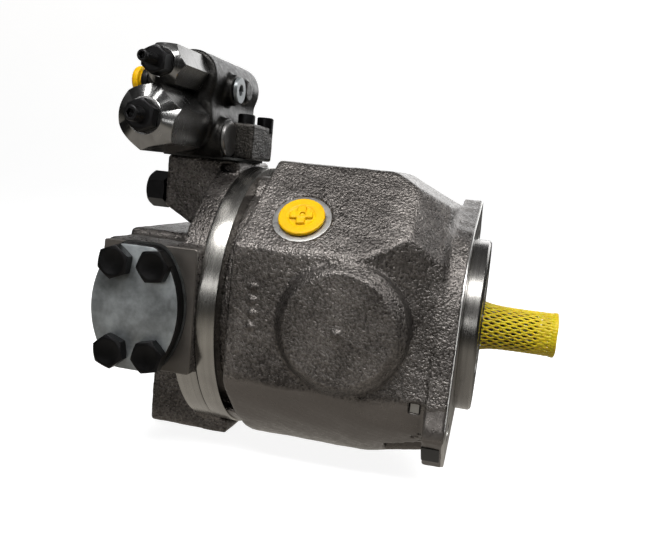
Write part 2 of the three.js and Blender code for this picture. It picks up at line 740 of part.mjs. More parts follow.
// Hexagonal spring cap whose front end is turned to a cone.
function makeCap({ axis, flats, corner, front, cone, nose, room, hole }) {
  const back = CONTROL_FRONT_Y - GAP;
  const cornerR = flats / Math.sqrt(3);
  const hex = hexY(flats, cone, back, axis.x, axis.z, corner);
  const turning = turned([
    [cone, 0], [cone, nose], [front, cornerR - 1.2], [front + 1.5, cornerR + 1],
    [back, cornerR + 1], [back, 0],
  ], 'y', 20).translate([axis.x, 0, axis.z]);
  const springRoom = rodY(room, front + 4, back + 1, axis.x, axis.z, 16);
  const screwHole = rodY(hole, cone - 1, front + 5, axis.x, axis.z, 12);
  return cut(hex.intersect(turning), springRoom, screwHole);
}

function makeLockNut({ axis, cone, hole, nut }) {
  const hex = hexY(nut.flats, cone - nut.height - GAP, cone - GAP, axis.x, axis.z);
  return cut(hex, rodY(hole, cone - nut.height - 2, cone + 1, axis.x, axis.z, 12));
}

function makeAdjustingScrew({ axis, front, hole }) {
  const socket = rodY(hole * 0.5, SCREW_TIP_Y - OVERCUT, SCREW_TIP_Y + 4, axis.x, axis.z, 6);
  return cut(rodY(hole - GAP, SCREW_TIP_Y, front + 7, axis.x, axis.z, 12), socket);
}

function makeSpool({ axis, spool }) {
  const { r, waist } = spool;
  const front = CONTROL_FRONT_Y - 5;
  return turned([
    [front, 0], [front, r], [-30, r], [-30, waist], [-18, waist], [-18, r], [-6, r],
    [-6, waist], [4, waist], [4, r], [12, r], [12, 0],
  ], 'y', 12).translate([axis.x, 0, axis.z]);
}

function makeControlSpring({ axis, front, room, wire, turns }) {
  return spring({
    r: room - wire / 2 - 0.8,
    wire,
    turns,
    from: front + 7.5,
    to: CONTROL_FRONT_Y - 5.4,
    axis: 'y',
    x: axis.x,
    z: axis.z,
  });
}

function makeControlPortPlug() {
  const { x } = PRESSURE_AXIS;
  return turned([
    [x - 30.5, 0], [x - 30.5, 7.2], [x - 29, 8], [x - 26.4, 8], [x - 26.4, 5.5],
    [x - 24.4, 5.5], [x - 24.4, 0],
  ], 'x', 14).translate([0, PORT_PLUG.y, PORT_PLUG.z]);
}

function makeSidePlug() {
  const face = CONTROL_SIDE_X;
  const plug = rodX(7.6, face + GAP, face + 2.2);
  const shank = rodX(4.9, face - 6, face + 1, 0, 0, 12);
  const socket = rodX(2.9, face - 2, face + 4, 0, 0, 6);
  return cut(join(plug, shank), socket).translate([0, SIDE_PLUG.y, SIDE_PLUG.z]);
}

// ---- drain plug ------------------------------------------------------------
function makeDrainPlug() {
  const seat = DRAIN_PLANE - DRAIN_SEAT_DEPTH + GAP;
  const disc = rodZ(12, seat, seat + 3, 0, 0, 20);
  const shank = rodZ(8, seat - 11, seat + 1, 0, 0, 14);
  const slots = [0, 90].map(
    (turn) => block(-5.5, 5.5, -1.9, 1.9, seat + 1.4, seat + 4).rotate([0, 0, turn]),
  );
  return cut(join(disc, shank), ...slots).rotate([45, 0, 0]).translate([DRAIN_X, 0, 0]);
}

// ---- the assembly ----------------------------------------------------------
const pump = new THREE.Group();

function add(name, body, finish) {
  const mesh = new THREE.Mesh(geometryOf(body), new THREE.MeshStandardMaterial(finish));
  mesh.name = name;
  pump.add(mesh);
}

function addCastings() {
  add('housing', makeHousing(), CAST_IRON);
  add('port_plate', makePortPlate(), CAST_IRON);
}

function addRotatingGroup() {
  add('drive_shaft', makeShaft(), GROUND_STEEL);
  add('front_bearing_cone', makeFrontCone(), GROUND_STEEL);
  add('front_bearing_cup', makeFrontCup(), GROUND_STEEL);
  add('front_bearing_rollers', makeFrontRollers(), GROUND_STEEL);
  add('rear_bearing_rollers', makeRearRollers(), GROUND_STEEL);
  add('shaft_seal', makeShaftSeal(), SEAL_RUBBER);
  add('cylinder_block', makeCylinderBlock(), BRONZE);
  for (let i = 0; i < PISTONS; i += 1) {
    add(`piston_${i + 1}`, station(makePiston(), i, BALL_CIRCLE_R), GROUND_STEEL);
    add(`slipper_${i + 1}`, station(makeSlipper(), i, BALL_CIRCLE_R), BRONZE);
  }
  add('retaining_plate', makeRetainingPlate(), GROUND_STEEL);
  add('retaining_ball', makeRetainingBall(), GROUND_STEEL);
  const blockSpring = spring({
    r: 15.6, wire: 2.2, turns: 3, from: -101.5, to: BLOCK_FRONT_X - 6.5, axis: 'x',
  });
  add('block_spring', blockSpring, SPRING_STEEL);
  add('valve_plate', makeValvePlate(), GROUND_STEEL);
}

function addSwashGroup() {
  add('swash_plate', makeSwashPlate(), GROUND_STEEL);
  add('cradle_bearing_near', makeCradleBearing(-1), BRONZE);
  add('cradle_bearing_far', makeCradleBearing(1), BRONZE);
  add('stroking_piston', makeStrokingPiston(), GROUND_STEEL);
  add('stroking_bore_plug', makeBorePlug(), BLACK_STEEL);
  add('bias_piston', makeBiasPiston(), GROUND_STEEL);
  const biasSpring = spring({
    r: 5.7, wire: 1.8, turns: 8, from: JOINT_X + 0.4, to: ARM_CONTACT_X - 12, axis: 'x', z: BIAS_Z,
  });
  add('bias_spring', biasSpring, SPRING_STEEL);
}

function addController() {
  add('control_body', makeControlBody(), CAST_IRON);
  add('pressure_cap', makeCap(CAPS.pressure), TURNED_STEEL);
  add('flow_cap', makeCap(CAPS.flow), TURNED_STEEL);
  add('pressure_lock_nut', makeLockNut(CAPS.pressure), BLACK_STEEL);
  add('flow_lock_nut', makeLockNut(CAPS.flow), BLACK_STEEL);
  add('pressure_adjusting_screw', makeAdjustingScrew(CAPS.pressure), BLACK_STEEL);
  add('flow_adjusting_screw', makeAdjustingScrew(CAPS.flow), BLACK_STEEL);
  add('pressure_spool', makeSpool(CAPS.pressure), GROUND_STEEL);
  add('flow_spool', makeSpool(CAPS.flow), GROUND_STEEL);
  add('pressure_spring', makeControlSpring(CAPS.pressure), SPRING_STEEL);
  add('flow_spring', makeControlSpring(CAPS.flow), SPRING_STEEL);
  add('control_port_plug', makeControlPortPlug(), YELLOW_PLASTIC);
  add('control_side_plug', makeSidePlug(), ZINC_PLATE);
}

function addOutsideParts() {
  add('pressure_cover', makeCover(COVERS.pressure), ZINC_PLATE);
  add('suction_cover', makeCover(COVERS.suction), ZINC_PLATE);
  boltPlaces(COVERS.pressure).forEach((place, i) => {
    add(`pressure_cover_bolt_${i + 1}`, makeCoverBolt(place), BLACK_STEEL);
  });
  add('drain_plug', makeDrainPlug(), YELLOW_PLASTIC);
  add('shaft_sleeve', makeShaftSleeve(), NET_PLASTIC);
}

addCastings();
addRotatingGroup();
addSwashGroup();
addController();
addOutsideParts();

export default pump;
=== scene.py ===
import json
import math

import bpy
import numpy as np
from mathutils import Matrix, Vector


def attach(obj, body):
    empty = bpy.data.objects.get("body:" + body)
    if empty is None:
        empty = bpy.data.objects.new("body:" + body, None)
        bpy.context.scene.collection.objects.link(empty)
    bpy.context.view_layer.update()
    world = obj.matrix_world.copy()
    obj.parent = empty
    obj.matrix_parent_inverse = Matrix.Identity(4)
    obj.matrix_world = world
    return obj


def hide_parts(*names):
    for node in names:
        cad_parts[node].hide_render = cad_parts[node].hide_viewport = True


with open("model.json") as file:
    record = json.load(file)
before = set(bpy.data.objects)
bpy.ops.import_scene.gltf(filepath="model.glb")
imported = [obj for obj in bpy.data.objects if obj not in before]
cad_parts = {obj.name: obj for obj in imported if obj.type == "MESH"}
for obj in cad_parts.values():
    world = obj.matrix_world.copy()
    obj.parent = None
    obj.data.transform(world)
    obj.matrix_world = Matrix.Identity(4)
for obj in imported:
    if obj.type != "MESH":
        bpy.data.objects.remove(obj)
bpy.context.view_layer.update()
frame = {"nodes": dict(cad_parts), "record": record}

MM = 0.001
DIAGONAL = math.sqrt(0.5)
FULL_TURN = 2 * math.pi

# Sizes in millimetres, in the CAD frame. Some were corrected against the photo after the CAD.
TOP_Z, SIDE_Y, UNDER_R = 84.0, 75.0, 82.6
BAND_R = 79.3
BAND_BACK, BAND_FRONT = -137.3, -126.3
JOINT_X = -138.0
PLATE_TOP_Z, PLATE_LOW_Z = 34.0, -34.4
PORT_X, PORT_FACE_Y = -166.3, 82.0
SCREW_PLACES = [(38.0, 56.0), (-38.0, -56.0), (38.0, -56.0)]
DRAIN_X, DRAIN_PLANE = -89.5, 80.0
DRAIN_LOW = 2.5
BOSS_X, BOSS_Z = -59.3, 1.2
BOSS_FACE_Y = 81.4
EAR_AT = 140 / 2 * DIAGONAL
EAR_END = 86.6
PRESSURE_AXIS = (-168.0, 99.5)
FLOW_AXIS = (-164.5, 127.5)
CAP_BACK = 45.3
SIDE_PLUG_Y, PORT_PLUG_Y, UPPER_PLUG_Z = -21.0, -38.0, 122.0
BLANK_PLUG_Y, BLANK_PLUG_Z = -30.0, 93.4
STROKE_Y, STROKE_Z = -18.0, 60.0
SHAFT_R = 12.4
SHARP_ANGLE = 32.0

# The camera was fitted to the photo: its focal length is in pixels of a 659 pixel wide frame.
FOCAL_PIXELS, FRAME_PIXELS, SENSOR = 745.0, 659.0, 36.0

# The studio, in metres.
FLOOR_Z = -0.0862
PUMP_MIDDLE = (-0.08, 0.0, 0.02)


# ---- materials
class Nodes:
    """A small wrapper that makes and links shader nodes in one material."""

    def __init__(self, name):
        self.material = bpy.data.materials.new(name)
        self.material.use_nodes = True
        self.tree = self.material.node_tree
        self.shader = next(n for n in self.tree.nodes if n.type == "BSDF_PRINCIPLED")
        self.place = self.tree.nodes.new("ShaderNodeTexCoord").outputs["Object"]

    def put(self, socket, value):
        """Links an output to a socket, or sets a number, vector or colour on it."""
        if isinstance(value, bpy.types.NodeSocket):
            self.tree.links.new(value, socket)
        elif socket.type == "RGBA" and len(value) == 3:
            socket.default_value = (*value, 1)
        else:
            socket.default_value = value

    def node(self, kind, **inputs):
        made = self.tree.nodes.new(kind)
        for key, value in inputs.items():
            self.put(made.inputs[key.replace("_", " ")], value)
        return made

    def noise(self, scale, detail=3.0, roughness=0.55, along=None):
        vector = self.place
        if along:
            vector = self.node("ShaderNodeMapping", Vector=vector, Scale=along).outputs["Vector"]
        made = self.node("ShaderNodeTexNoise", Vector=vector, Scale=scale,
                         Detail=detail, Roughness=roughness)
        return made.outputs["Fac"]

    def ramp(self, factor, stops):
        made = self.node("ShaderNodeValToRGB", Fac=factor)
        set_stops(made.color_ramp, stops)
        return made.outputs["Color"]

    def grey(self, factor, stops):
        return self.ramp(factor, [(at, (v, v, v)) for at, v in stops])

    def mix(self, factor, a, b):
        made = self.tree.nodes.new("ShaderNodeMix")
        made.data_type = "RGBA"
        for index, value in ((0, factor), (6, a), (7, b)):
            self.put(made.inputs[index], value)
        return made.outputs[2]

    def math(self, operation, a, b):
        made = self.tree.nodes.new("ShaderNodeMath")
        made.operation = operation
        for socket, value in zip(made.inputs, (a, b)):
            self.put(socket, value)
        return made.outputs["Value"]

    def weighted(self, a, share_a, b, share_b):
        return self.math("ADD", self.math("MULTIPLY", a, share_a),
                         self.math("MULTIPLY", b, share_b))

    def gloss(self, factor, roughness, top=0.7):
        """Roughness that goes from its low to its high value over the middle of a noise."""
        return self.grey(factor, [(0.3, roughness[0]), (top, roughness[1])])

    def bump(self, height, strength, distance):
        made = self.node("ShaderNodeBump", Height=height, Strength=strength, Distance=distance)
        return made.outputs["Normal"]

    def finish(self, colour, roughness, normal=None, **values):
        for key, value in (("Base Color", colour), ("Roughness", roughness), ("Normal", normal)):
            if value is not None:
                self.put(self.shader.inputs[key], value)
        for key, value in values.items():
            self.shader.inputs[key.replace("_", " ")].default_value = value
        return self.material


def set_stops(ramp, stops):
    """Fills a colour ramp that has two points with (position, colour) stops."""
    while len(ramp.elements) < len(stops):
        ramp.elements.new(0.5)
    for point, (at, colour) in zip(ramp.elements, stops):
        point.position = at
        point.color = (*colour, 1)


def edge_wear(kit):
    """Near 1 on convex edges, from the angle between the rounded and the true normal."""
    bevel = kit.node("ShaderNodeBevel", Radius=0.0006)
    bevel.samples = 4
    geometry = kit.node("ShaderNodeNewGeometry")
    dot = kit.node("ShaderNodeVectorMath")
    dot.operation = "DOT_PRODUCT"
    kit.put(dot.inputs[0], bevel.outputs["Normal"])
    kit.put(dot.inputs[1], geometry.outputs["Normal"])
    return kit.grey(dot.outputs["Value"], [(0.75, 1.0), (0.97, 0.0)])


def cast_iron(name, dark, light, grain, relief, roughness, smooth_painted_bounce_under=None):
    """Sand-cast iron: a skin of rounded grains, mottled in broader patches.
    Below the height smooth_painted_bounce_under, in metres, the skin is nearly smooth and one even
    tone, lighter than the mottle as painted bounce light from the floor below."""
    kit = Nodes(name)
    sand = kit.noise(grain, detail=1.5, roughness=0.6)
    fine = kit.noise(grain * 2.1, detail=1.0)
    patches = kit.noise(38, detail=4)
    tone = kit.weighted(sand, 0.55, patches, 0.45)
    middle = tuple((a + b) * 0.45 for a, b in zip(dark, light))
    colour = kit.ramp(tone, [(0.36, dark), (0.52, middle), (0.68, light)])
    gloss = kit.gloss(kit.noise(grain * 0.5, detail=2), roughness)
    height = kit.weighted(sand, 0.8, fine, 0.22)
    if smooth_painted_bounce_under is not None:
        above = kit.node("ShaderNodeSeparateXYZ", Vector=kit.place)
        wander = kit.math("MULTIPLY", kit.math("SUBTRACT", kit.noise(60), 0.5), 0.008)
        level = kit.math("ADD", above.outputs["Z"], wander)
        scaled = kit.math("MULTIPLY", kit.math("SUBTRACT", level, smooth_painted_bounce_under), 500.0)
        cover = kit.grey(kit.math("ADD", scaled, 0.5), [(0.0, 0.13), (1.0, 1.0)])
        height = kit.math("MULTIPLY", height, cover)
        # smooth skin underneath, its even lighter tone painted bounce light from the floor
        plain = tuple(v * 1.25 for v in middle)
        colour = kit.mix(cover, plain, colour)
    return kit.finish(colour, gloss, kit.bump(height, 1.0, relief), Metallic=0.75)


def turned_metal(name, colour, lines, roughness, strength=0.25, metallic=1.0):
    """Lathe- or mill-cut metal. `lines` scales the tool marks: a large number across them."""
    kit = Nodes(name)
    marks = kit.noise(1.0, detail=4, roughness=0.7, along=lines)
    broad = kit.noise(1.0, detail=2, along=tuple(v * 0.18 for v in lines))
    smudge = kit.noise(55, detail=3)
    dull = tuple(v * 0.75 for v in colour)
    tone = kit.ramp(kit.weighted(broad, 0.5, smudge, 0.5), [(0.35, dull), (0.62, colour)])
    gloss = kit.gloss(kit.weighted(marks, 0.6, smudge, 0.4), roughness)
    return kit.finish(tone, gloss, kit.bump(marks, strength, 0.00004), Metallic=metallic)


def worn_metal(name, colour, edge, roughness, grain=420.0, metallic=0.85, relief=0.00005):
    """Plated, oxidised or forged metal whose edges are rubbed to a lighter tone."""
    kit = Nodes(name)
    mottle = kit.noise(grain * 0.12, detail=5, roughness=0.65)
    fine = kit.noise(grain * 2.2, detail=2)
    lighter = tuple(min(1.0, v * 1.5 + 0.004) for v in colour)
    darker = tuple(v * 0.6 for v in colour)
    body = kit.ramp(mottle, [(0.3, darker), (0.5, colour), (0.72, lighter)])
    tone = kit.mix(kit.math("MULTIPLY", edge_wear(kit), 0.55), body, edge)
    gloss = kit.gloss(mottle, roughness, top=0.75)
    return kit.finish(tone, gloss, kit.bump(fine, 0.35, relief), Metallic=metallic)


def plastic(name, colour, deep, roughness):
    """Moulded plastic with a little light inside it."""
    kit = Nodes(name)
    cloud = kit.noise(120, detail=3)
    tone = kit.ramp(cloud, [(0.3, deep), (0.65, colour)])
    gloss = kit.gloss(kit.noise(270.0), (roughness - 0.08, roughness + 0.1))
    skin = kit.bump(kit.noise(900.0), 0.3, 0.00004)
    return kit.finish(tone, gloss, skin, Subsurface_Weight=0.12, Subsurface_Scale=0.0015,
                      Specular_IOR_Level=0.2)


def rubber(name, colour):
    kit = Nodes(name)
    dust = kit.noise(260, detail=4)
    tone = kit.ramp(dust, [(0.4, colour), (0.75, tuple(v + 0.02 for v in colour))])
    gloss = kit.grey(dust, [(0.3, 0.55), (0.7, 0.8)])
    return kit.finish(tone, gloss, kit.bump(dust, 0.4, 0.00005))


SAND = ((0.040, 0.035, 0.032), (0.215, 0.197, 0.183), 740.0, 0.0009, (0.24, 0.42))
IRON = cast_iron("cast_iron_sand", *SAND)
IRON_BODY = cast_iron("cast_iron_body", *SAND, smooth_painted_bounce_under=-0.0345)
IRON_OILY = cast_iron("cast_iron_oily", (0.014, 0.0125, 0.011), (0.075, 0.069, 0.062), 820.0,
                      0.0006, (0.28, 0.50))
IRON_FINE = cast_iron("cast_iron_fine", (0.007, 0.0066, 0.006), (0.028, 0.0265, 0.024),
                      900.0, 0.00025, (0.30, 0.46))
IRON_FACED = turned_metal("cast_iron_faced", (0.17, 0.155, 0.14), (300, 300, 300), (0.34, 0.5),
                          0.3, 0.85)
TURNED_X = turned_metal("turned_steel_x", (0.37, 0.358, 0.335), (2600, 25, 25), (0.20, 0.32), 0.08)
TURNED_PILOT = turned_metal("turned_steel_pilot", (0.23, 0.222, 0.21), (2600, 25, 25),
                            (0.20, 0.32), 0.08)
FACED = turned_metal("faced_steel", (0.55, 0.54, 0.52), (420, 420, 420), (0.24, 0.42))
TURNED_Y = turned_metal("turned_steel_y", (0.27, 0.267, 0.262), (50, 2600, 50), (0.18, 0.30), 0.12)
GROUND = turned_metal("ground_steel", (0.63, 0.62, 0.60), (1500, 60, 60), (0.14, 0.28))
RACES = turned_metal("bearing_steel", (0.72, 0.72, 0.71), (900, 60, 60), (0.08, 0.16))
# a dark copy of the ground steel: painted shade on the shaft where it lies under the net
SHADED_SHAFT_STEEL = turned_metal("shaft_steel_painted_shade", (0.11, 0.105, 0.09), (1500, 60, 60), (0.3, 0.5))
DARK_STEEL = worn_metal("dark_steel", (0.16, 0.155, 0.15), (0.4, 0.39, 0.38), (0.3, 0.45))
BRONZE = turned_metal("bearing_bronze", (0.62, 0.42, 0.18), (700, 60, 60), (0.22, 0.36))
WIRE = worn_metal("spring_steel", (0.22, 0.22, 0.23), (0.4, 0.4, 0.4), (0.25, 0.4))
BLACK = worn_metal("black_oxide", (0.011, 0.0108, 0.0112), (0.055, 0.053, 0.052), (0.30, 0.48))
ZINC = worn_metal("zinc_plate", (0.245, 0.262, 0.268), (0.6, 0.6, 0.6), (0.28, 0.56),
                  grain=620.0, metallic=0.7, relief=0.00008)
GASKET = rubber("gasket_dark", (0.012, 0.013, 0.012))
SEAL = rubber("seal_rubber", (0.018, 0.017, 0.017))
YELLOW = plastic("yellow_plastic", (0.72, 0.43, 0.001), (0.66, 0.37, 0.001), 0.42)
NET = plastic("olive_net", (0.62, 0.48, 0.016), (0.46, 0.34, 0.010), 0.30)


# ---- meshes
def mesh_object(name, points, faces, material):
    mesh = bpy.data.meshes.new(name)
    mesh.from_pydata(points, [], faces)
    mesh.validate()
    mesh.materials.append(material)
    mesh.shade_smooth()
    made = bpy.data.objects.new(name, mesh)
    bpy.context.scene.collection.objects.link(made)
    return made


def piece(name, shape, material, body="casing", replaces=(), sharp=SHARP_ANGLE):
    """Turns (points in mm, faces) into a shown piece that rides on a CAD body."""
    points, faces = shape
    made = mesh_object(name, (np.asarray(points, float) * MM).tolist(), faces, material)
    if sharp:
        made.data.set_sharp_from_angle(angle=math.radians(sharp))
    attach(made, body)
    if replaces:
        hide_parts(*replaces)
    return made


def merged(*shapes):
    """Several closed shells as one piece."""
    points, faces = [], []
    for some, loops in shapes:
        start = sum(len(p) for p in points)
        points.append(np.asarray(some, float))
        faces += [[start + i for i in loop] for loop in loops]
    return np.concatenate(points), faces


def rounded(corners, radius, steps=3, closed=False):
    """A polyline with each corner replaced by a small arc."""
    pts = [np.array(c, float) for c in corners]
    out = []
    for i, here in enumerate(pts):
        if not closed and i in (0, len(pts) - 1):
            out.append(here)
            continue
        a, b = pts[i - 1] - here, pts[(i + 1) % len(pts)] - here
        la, lb = np.linalg.norm(a), np.linalg.norm(b)
        if min(la, lb) < 1e-6:
            out.append(here)
            continue
        reach = min(radius, la * 0.45, lb * 0.45)
        start, end = here + a / la * reach, here + b / lb * reach
        for s in range(steps + 1):
            t = s / steps
            out.append((1 - t) ** 2 * start + 2 * t * (1 - t) * here + t * t * end)
    return out


def turn(sides):
    """Angles of `sides` equal steps round a circle."""
    return np.arange(sides) * 2 * math.pi / sides


def rounded_box(left, low, right, high, radius):
    corners = [(left, low), (right, low), (right, high), (left, high)]
    return rounded(corners, radius, closed=True)


def stack(rings, sides, loop=False):
    """Rings of (height, radius) round the X axis; each may be one number or one per side.
    A ring of radius 0 is a pole. With loop, the last ring joins the first."""
    angles = turn(sides)
    points, rows = [], []
    for height, radius in rings:
        if np.isscalar(radius) and radius < 1e-9:
            rows.append([len(points)])
            points.append((float(height), 0.0, 0.0))
            continue
        rows.append(list(range(len(points), len(points) + sides)))
        h, r = np.broadcast_to(height, sides), np.broadcast_to(radius, sides)
        points += list(zip(h, r * np.cos(angles), r * np.sin(angles)))
    faces = []
    pairs = list(zip(rows, rows[1:])) + ([(rows[-1], rows[0])] if loop else [])
    for low, high in pairs:
        for i in range(sides):
            j = (i + 1) % sides
            quad = [low[i % len(low)], low[j % len(low)],
                    high[j % len(high)], high[i % len(high)]]
            quad = [v for n, v in enumerate(quad) if v != quad[n - 1]]
            if len(quad) > 2:
                faces.append(quad)
    if not loop:
        for row, flip in ((rows[0], True), (rows[-1], False)):
            if len(row) > 1:
                faces.append(row[::-1] if flip else list(row))
    return np.array(points), outward(points, faces)


def outward(points, faces):
    """Flips all faces if the closed shell they make is inside out."""
    pts = np.asarray(points, float)
    volume = 0.0
    for loop in faces:
        a = pts[loop[0]]
        for b, c in zip(loop[1:], loop[2:]):
            volume += np.dot(a, np.cross(pts[b], pts[c]))
    return faces if volume > 0 else [list(loop)[::-1] for loop in faces]


AXES = {
    "+X": ((1, 0, 0), (0, 1, 0), (0, 0, 1)),
    "-X": ((-1, 0, 0), (0, -1, 0), (0, 0, 1)),
    "-Y": ((0, -1, 0), (1, 0, 0), (0, 0, 1)),
    "+Y": ((0, 1, 0), (-1, 0, 0), (0, 0, 1)),
    "+Z": ((0, 0, 1), (1, 0, 0), (0, 1, 0)),
    "facet": ((0, -DIAGONAL, DIAGONAL), (1, 0, 0), (0, DIAGONAL, DIAGONAL)),
    "far_facet": ((0, DIAGONAL, DIAGONAL), (-1, 0, 0), (0, -DIAGONAL, DIAGONAL)),
    "low_ear": ((0, -DIAGONAL, -DIAGONAL), (1, 0, 0), (0, -DIAGONAL, DIAGONAL)),
}


def placed(shape, axis, at, spin=0.0):
    """Lays a shape made round X along another axis, through a point in mm."""
    points, faces = shape
    c, s = math.cos(math.radians(spin)), math.sin(math.radians(spin))
    x, y, z = np.asarray(points, float).T
    local = np.stack([x, c * y - s * z, s * y + c * z], 1)
    return local @ np.array(AXES[axis], float) + np.array(at, float), faces


def hex_radius(flats, sides):
    """Radius of a hexagon, a corner at angle 0, in `sides` directions."""
    within = np.mod(turn(sides), math.pi / 3) - math.pi / 6
    return flats / 2 / np.cos(within)


def hex_shape(flats, back, front, chamfer, dish=0.0, sides=72):
    """A bolt head or nut from `back` to `front`, its corners turned off at 30 degrees.
    With dish, the front is sunk by that much inside its rim."""
    wide = hex_radius(flats, sides)
    inner = flats / 2 * chamfer
    drop = (wide - inner) * math.tan(math.radians(30))
    rings = [(back, 0.0), (back, inner), (back + drop * 0.7, wide), (front - drop, wide),
             (front, inner), (front, inner * 0.86)]
    if dish:
        rings.append((front - dish, inner * 0.78))
    return stack(rings + [(front - dish, 0.0)], sides)


def turned(profile, axis="+X", at=(0, 0, 0), soft=0.4, sides=72, loop=False):
    """A lathe shape from (along, radius) corners, each corner slightly rounded."""
    rings = [tuple(p) for p in rounded(profile, soft, closed=loop)]
    return placed(stack(rings, sides, loop), axis, at)


def thread_rings(r, start, end, pitch, sides):
    """Rings of a screw thread for stack(): the radius follows a helix."""
    depth, per_turn = 0.35, 6
    angle = np.arange(sides) / sides
    steps = int(abs(end - start) / pitch * per_turn)
    rings = []
    for i in range(steps + 1):
        h = start + (end - start) * i / steps
        wave = np.abs(np.mod(h / pitch - angle, 1.0) - 0.5) * 2
        fade = min(1.0, i / 4, (steps - i) / 4)
        rings.append((h, r - depth * wave * fade - depth * 0.5 * (1 - fade)))
    return rings


def plate(outline, levels):
    """Stacks one outline at several (position, inset) levels; the ends are capped.
    The outline is in the two axes across the position axis, counter-clockwise."""
    pts = np.array(outline, float)
    ahead, behind = np.roll(pts, -1, 0) - pts, pts - np.roll(pts, 1, 0)
    normal = np.stack([ahead[:, 1] + behind[:, 1], -(ahead[:, 0] + behind[:, 0])], 1)
    normal /= np.maximum(np.linalg.norm(normal, axis=1), 1e-9)[:, None]
    n = len(pts)
    points, faces = [], []
    for position, inset in levels:
        ring = pts - normal * inset
        points += [(position, u, v) for u, v in ring]
    for level in range(len(levels) - 1):
        for i in range(n):
            j = (i + 1) % n
            a, b = level * n, (level + 1) * n
            faces.append([a + i, a + j, b + j, b + i])
    faces.append(list(range(n))[::-1])
    faces.append([len(points) - n + i for i in range(n)])
    return np.array(points), outward(points, faces)


def tube(rows):
    """Joins rows of points, one row per place along the way, into one capped skin."""
    points = np.array(rows, float).reshape(-1, 3)
    wide, faces = len(rows[0]), []
    for i in range(len(rows) - 1):
        for j in range(wide):
            k = (j + 1) % wide
            faces.append([i * wide + j, i * wide + k, (i + 1) * wide + k, (i + 1) * wide + j])
    faces += [list(range(wide))[::-1], [len(points) - wide + j for j in range(wide)]]
    return points, outward(points, faces)


# ---- solids from distance fields
CORNERS = [(i, j, k) for i in (0, 1) for j in (0, 1) for k in (0, 1)]
EDGES = [(a, b) for a in range(8) for b in range(a + 1, 8)
         if sum(abs(p - q) for p, q in zip(CORNERS[a], CORNERS[b])) == 1]


def smooth_max(k, *fields):
    total = fields[0]
    for field in fields[1:]:
        h = np.maximum(k - np.abs(total - field), 0) / k
        total = np.maximum(total, field) + h * h * k * 0.25
    return total


def smooth_min(k, *fields):
    return -smooth_max(k, *[-f for f in fields])


def box_field(x, y, z, low, high, r=1.0):
    q = [np.abs(p - (a + b) / 2) - (b - a) / 2 + r for p, a, b in zip((x, y, z), low, high)]
    out = np.sqrt(sum(np.maximum(v, 0) ** 2 for v in q))
    return out + np.minimum(np.maximum(np.maximum(q[0], q[1]), q[2]), 0) - r


def rod_field(along, u, v, low, high, radius, r=1.0):
    a = np.sqrt(u * u + v * v) - radius + r
    b = np.abs(along - (low + high) / 2) - (high - low) / 2 + r
    out = np.sqrt(np.maximum(a, 0) ** 2 + np.maximum(b, 0) ** 2)
    return out + np.minimum(np.maximum(a, b), 0) - r


def field_surface(field, low, high, step, rounds=3):
    """Closed quad mesh of field = 0 by surface nets, its points then moved onto the surface."""
    axes = [np.arange(a, b + step, step) for a, b in zip(low, high)]
    grid = np.meshgrid(*axes, indexing="ij", sparse=True)
    shape = tuple(len(a) for a in axes)
    values = np.broadcast_to(field(*grid), shape)
    inside = values < 0
    size = [n - 1 for n in shape]
    count = sum(inside[i:i + size[0], j:j + size[1], k:k + size[2]].astype(np.int8)
                for i, j, k in CORNERS)
    mixed = (count > 0) & (count < 8)
    cell = np.full(mixed.shape, -1, np.int64)
    base = np.argwhere(mixed)
    cell[mixed] = np.arange(len(base))
    at = np.stack([values[tuple((base + c).T)] for c in CORNERS], 1).astype(float)
    total, hits = np.zeros((len(base), 3)), np.zeros(len(base))
    for a, b in EDGES:
        va, vb = at[:, a], at[:, b]
        crossed = (va < 0) != (vb < 0)
        t = np.where(crossed, va / np.where(crossed, va - vb, 1), 0)[:, None]
        point = np.array(CORNERS[a]) + t * (np.array(CORNERS[b]) - np.array(CORNERS[a]))
        total += np.where(crossed[:, None], point, 0)
        hits += crossed
    points = (base + total / hits[:, None]) * step + np.array(low, float)
    faces = []
    for axis in range(3):
        low_side = inside.take(range(shape[axis] - 1), axis)
        high_side = inside.take(range(1, shape[axis]), axis)
        edge = np.argwhere(low_side != high_side)
        starts_in = low_side[tuple(edge.T)]
        u, v = np.eye(3, dtype=int)[(axis + 1) % 3], np.eye(3, dtype=int)[(axis + 2) % 3]
        quads = np.stack([cell[tuple(p.T)] for p in (edge, edge - u, edge - u - v, edge - v)], 1)
        quads[~starts_in] = quads[~starts_in][:, ::-1]
        faces.append(quads)
    h = step * 0.04
    for _ in range(rounds):
        x, y, z = points.T
        f = field(x, y, z)
        slope = np.stack([field(x + h, y, z) - f, field(x, y + h, z) - f,
                          field(x, y, z + h) - f], 1) / h
        move = slope * (f / np.maximum((slope ** 2).sum(1), 0.2))[:, None]
        points = points - np.clip(move, -step, step) * 0.85
    return points, np.concatenate(faces).tolist()


def ripple(x, y, z, size=0.14):
    """Slow unevenness of a sand casting, in mm."""
    a = np.sin(x * 0.33 + 1.7 * np.sin(y * 0.21 + 0.4))
    b = np.sin(y * 0.29 + z * 0.17 + 1.1) * np.sin(z * 0.37 + x * 0.12)
    return size * (a * 0.5 + b + 0.4 * np.sin(x * 0.9 + z * 0.7) * np.sin(y * 0.8 - z * 0.6))


def flange_field(y, z, disc_r, ear_r):
    """Distance to the flange outline: a disc drawn out to two flat-ended ears on the diagonal."""
    along = np.abs((y + z) * DIAGONAL)
    across = np.abs((y - z) * DIAGONAL)
    reach = 70.0
    b = (disc_r - ear_r) / reach
    a = math.sqrt(1 - b * b)
    k = across * -b + along * a
    disc = np.sqrt(across ** 2 + along ** 2) - disc_r
    ear = np.sqrt(across ** 2 + (along - reach) ** 2) - ear_r
    side = across * a + along * b - disc_r
    rounded_off = np.where(k < 0, disc, np.where(k > a * reach, ear, side))
    return smooth_max(1.0, rounded_off, along - EAR_END)


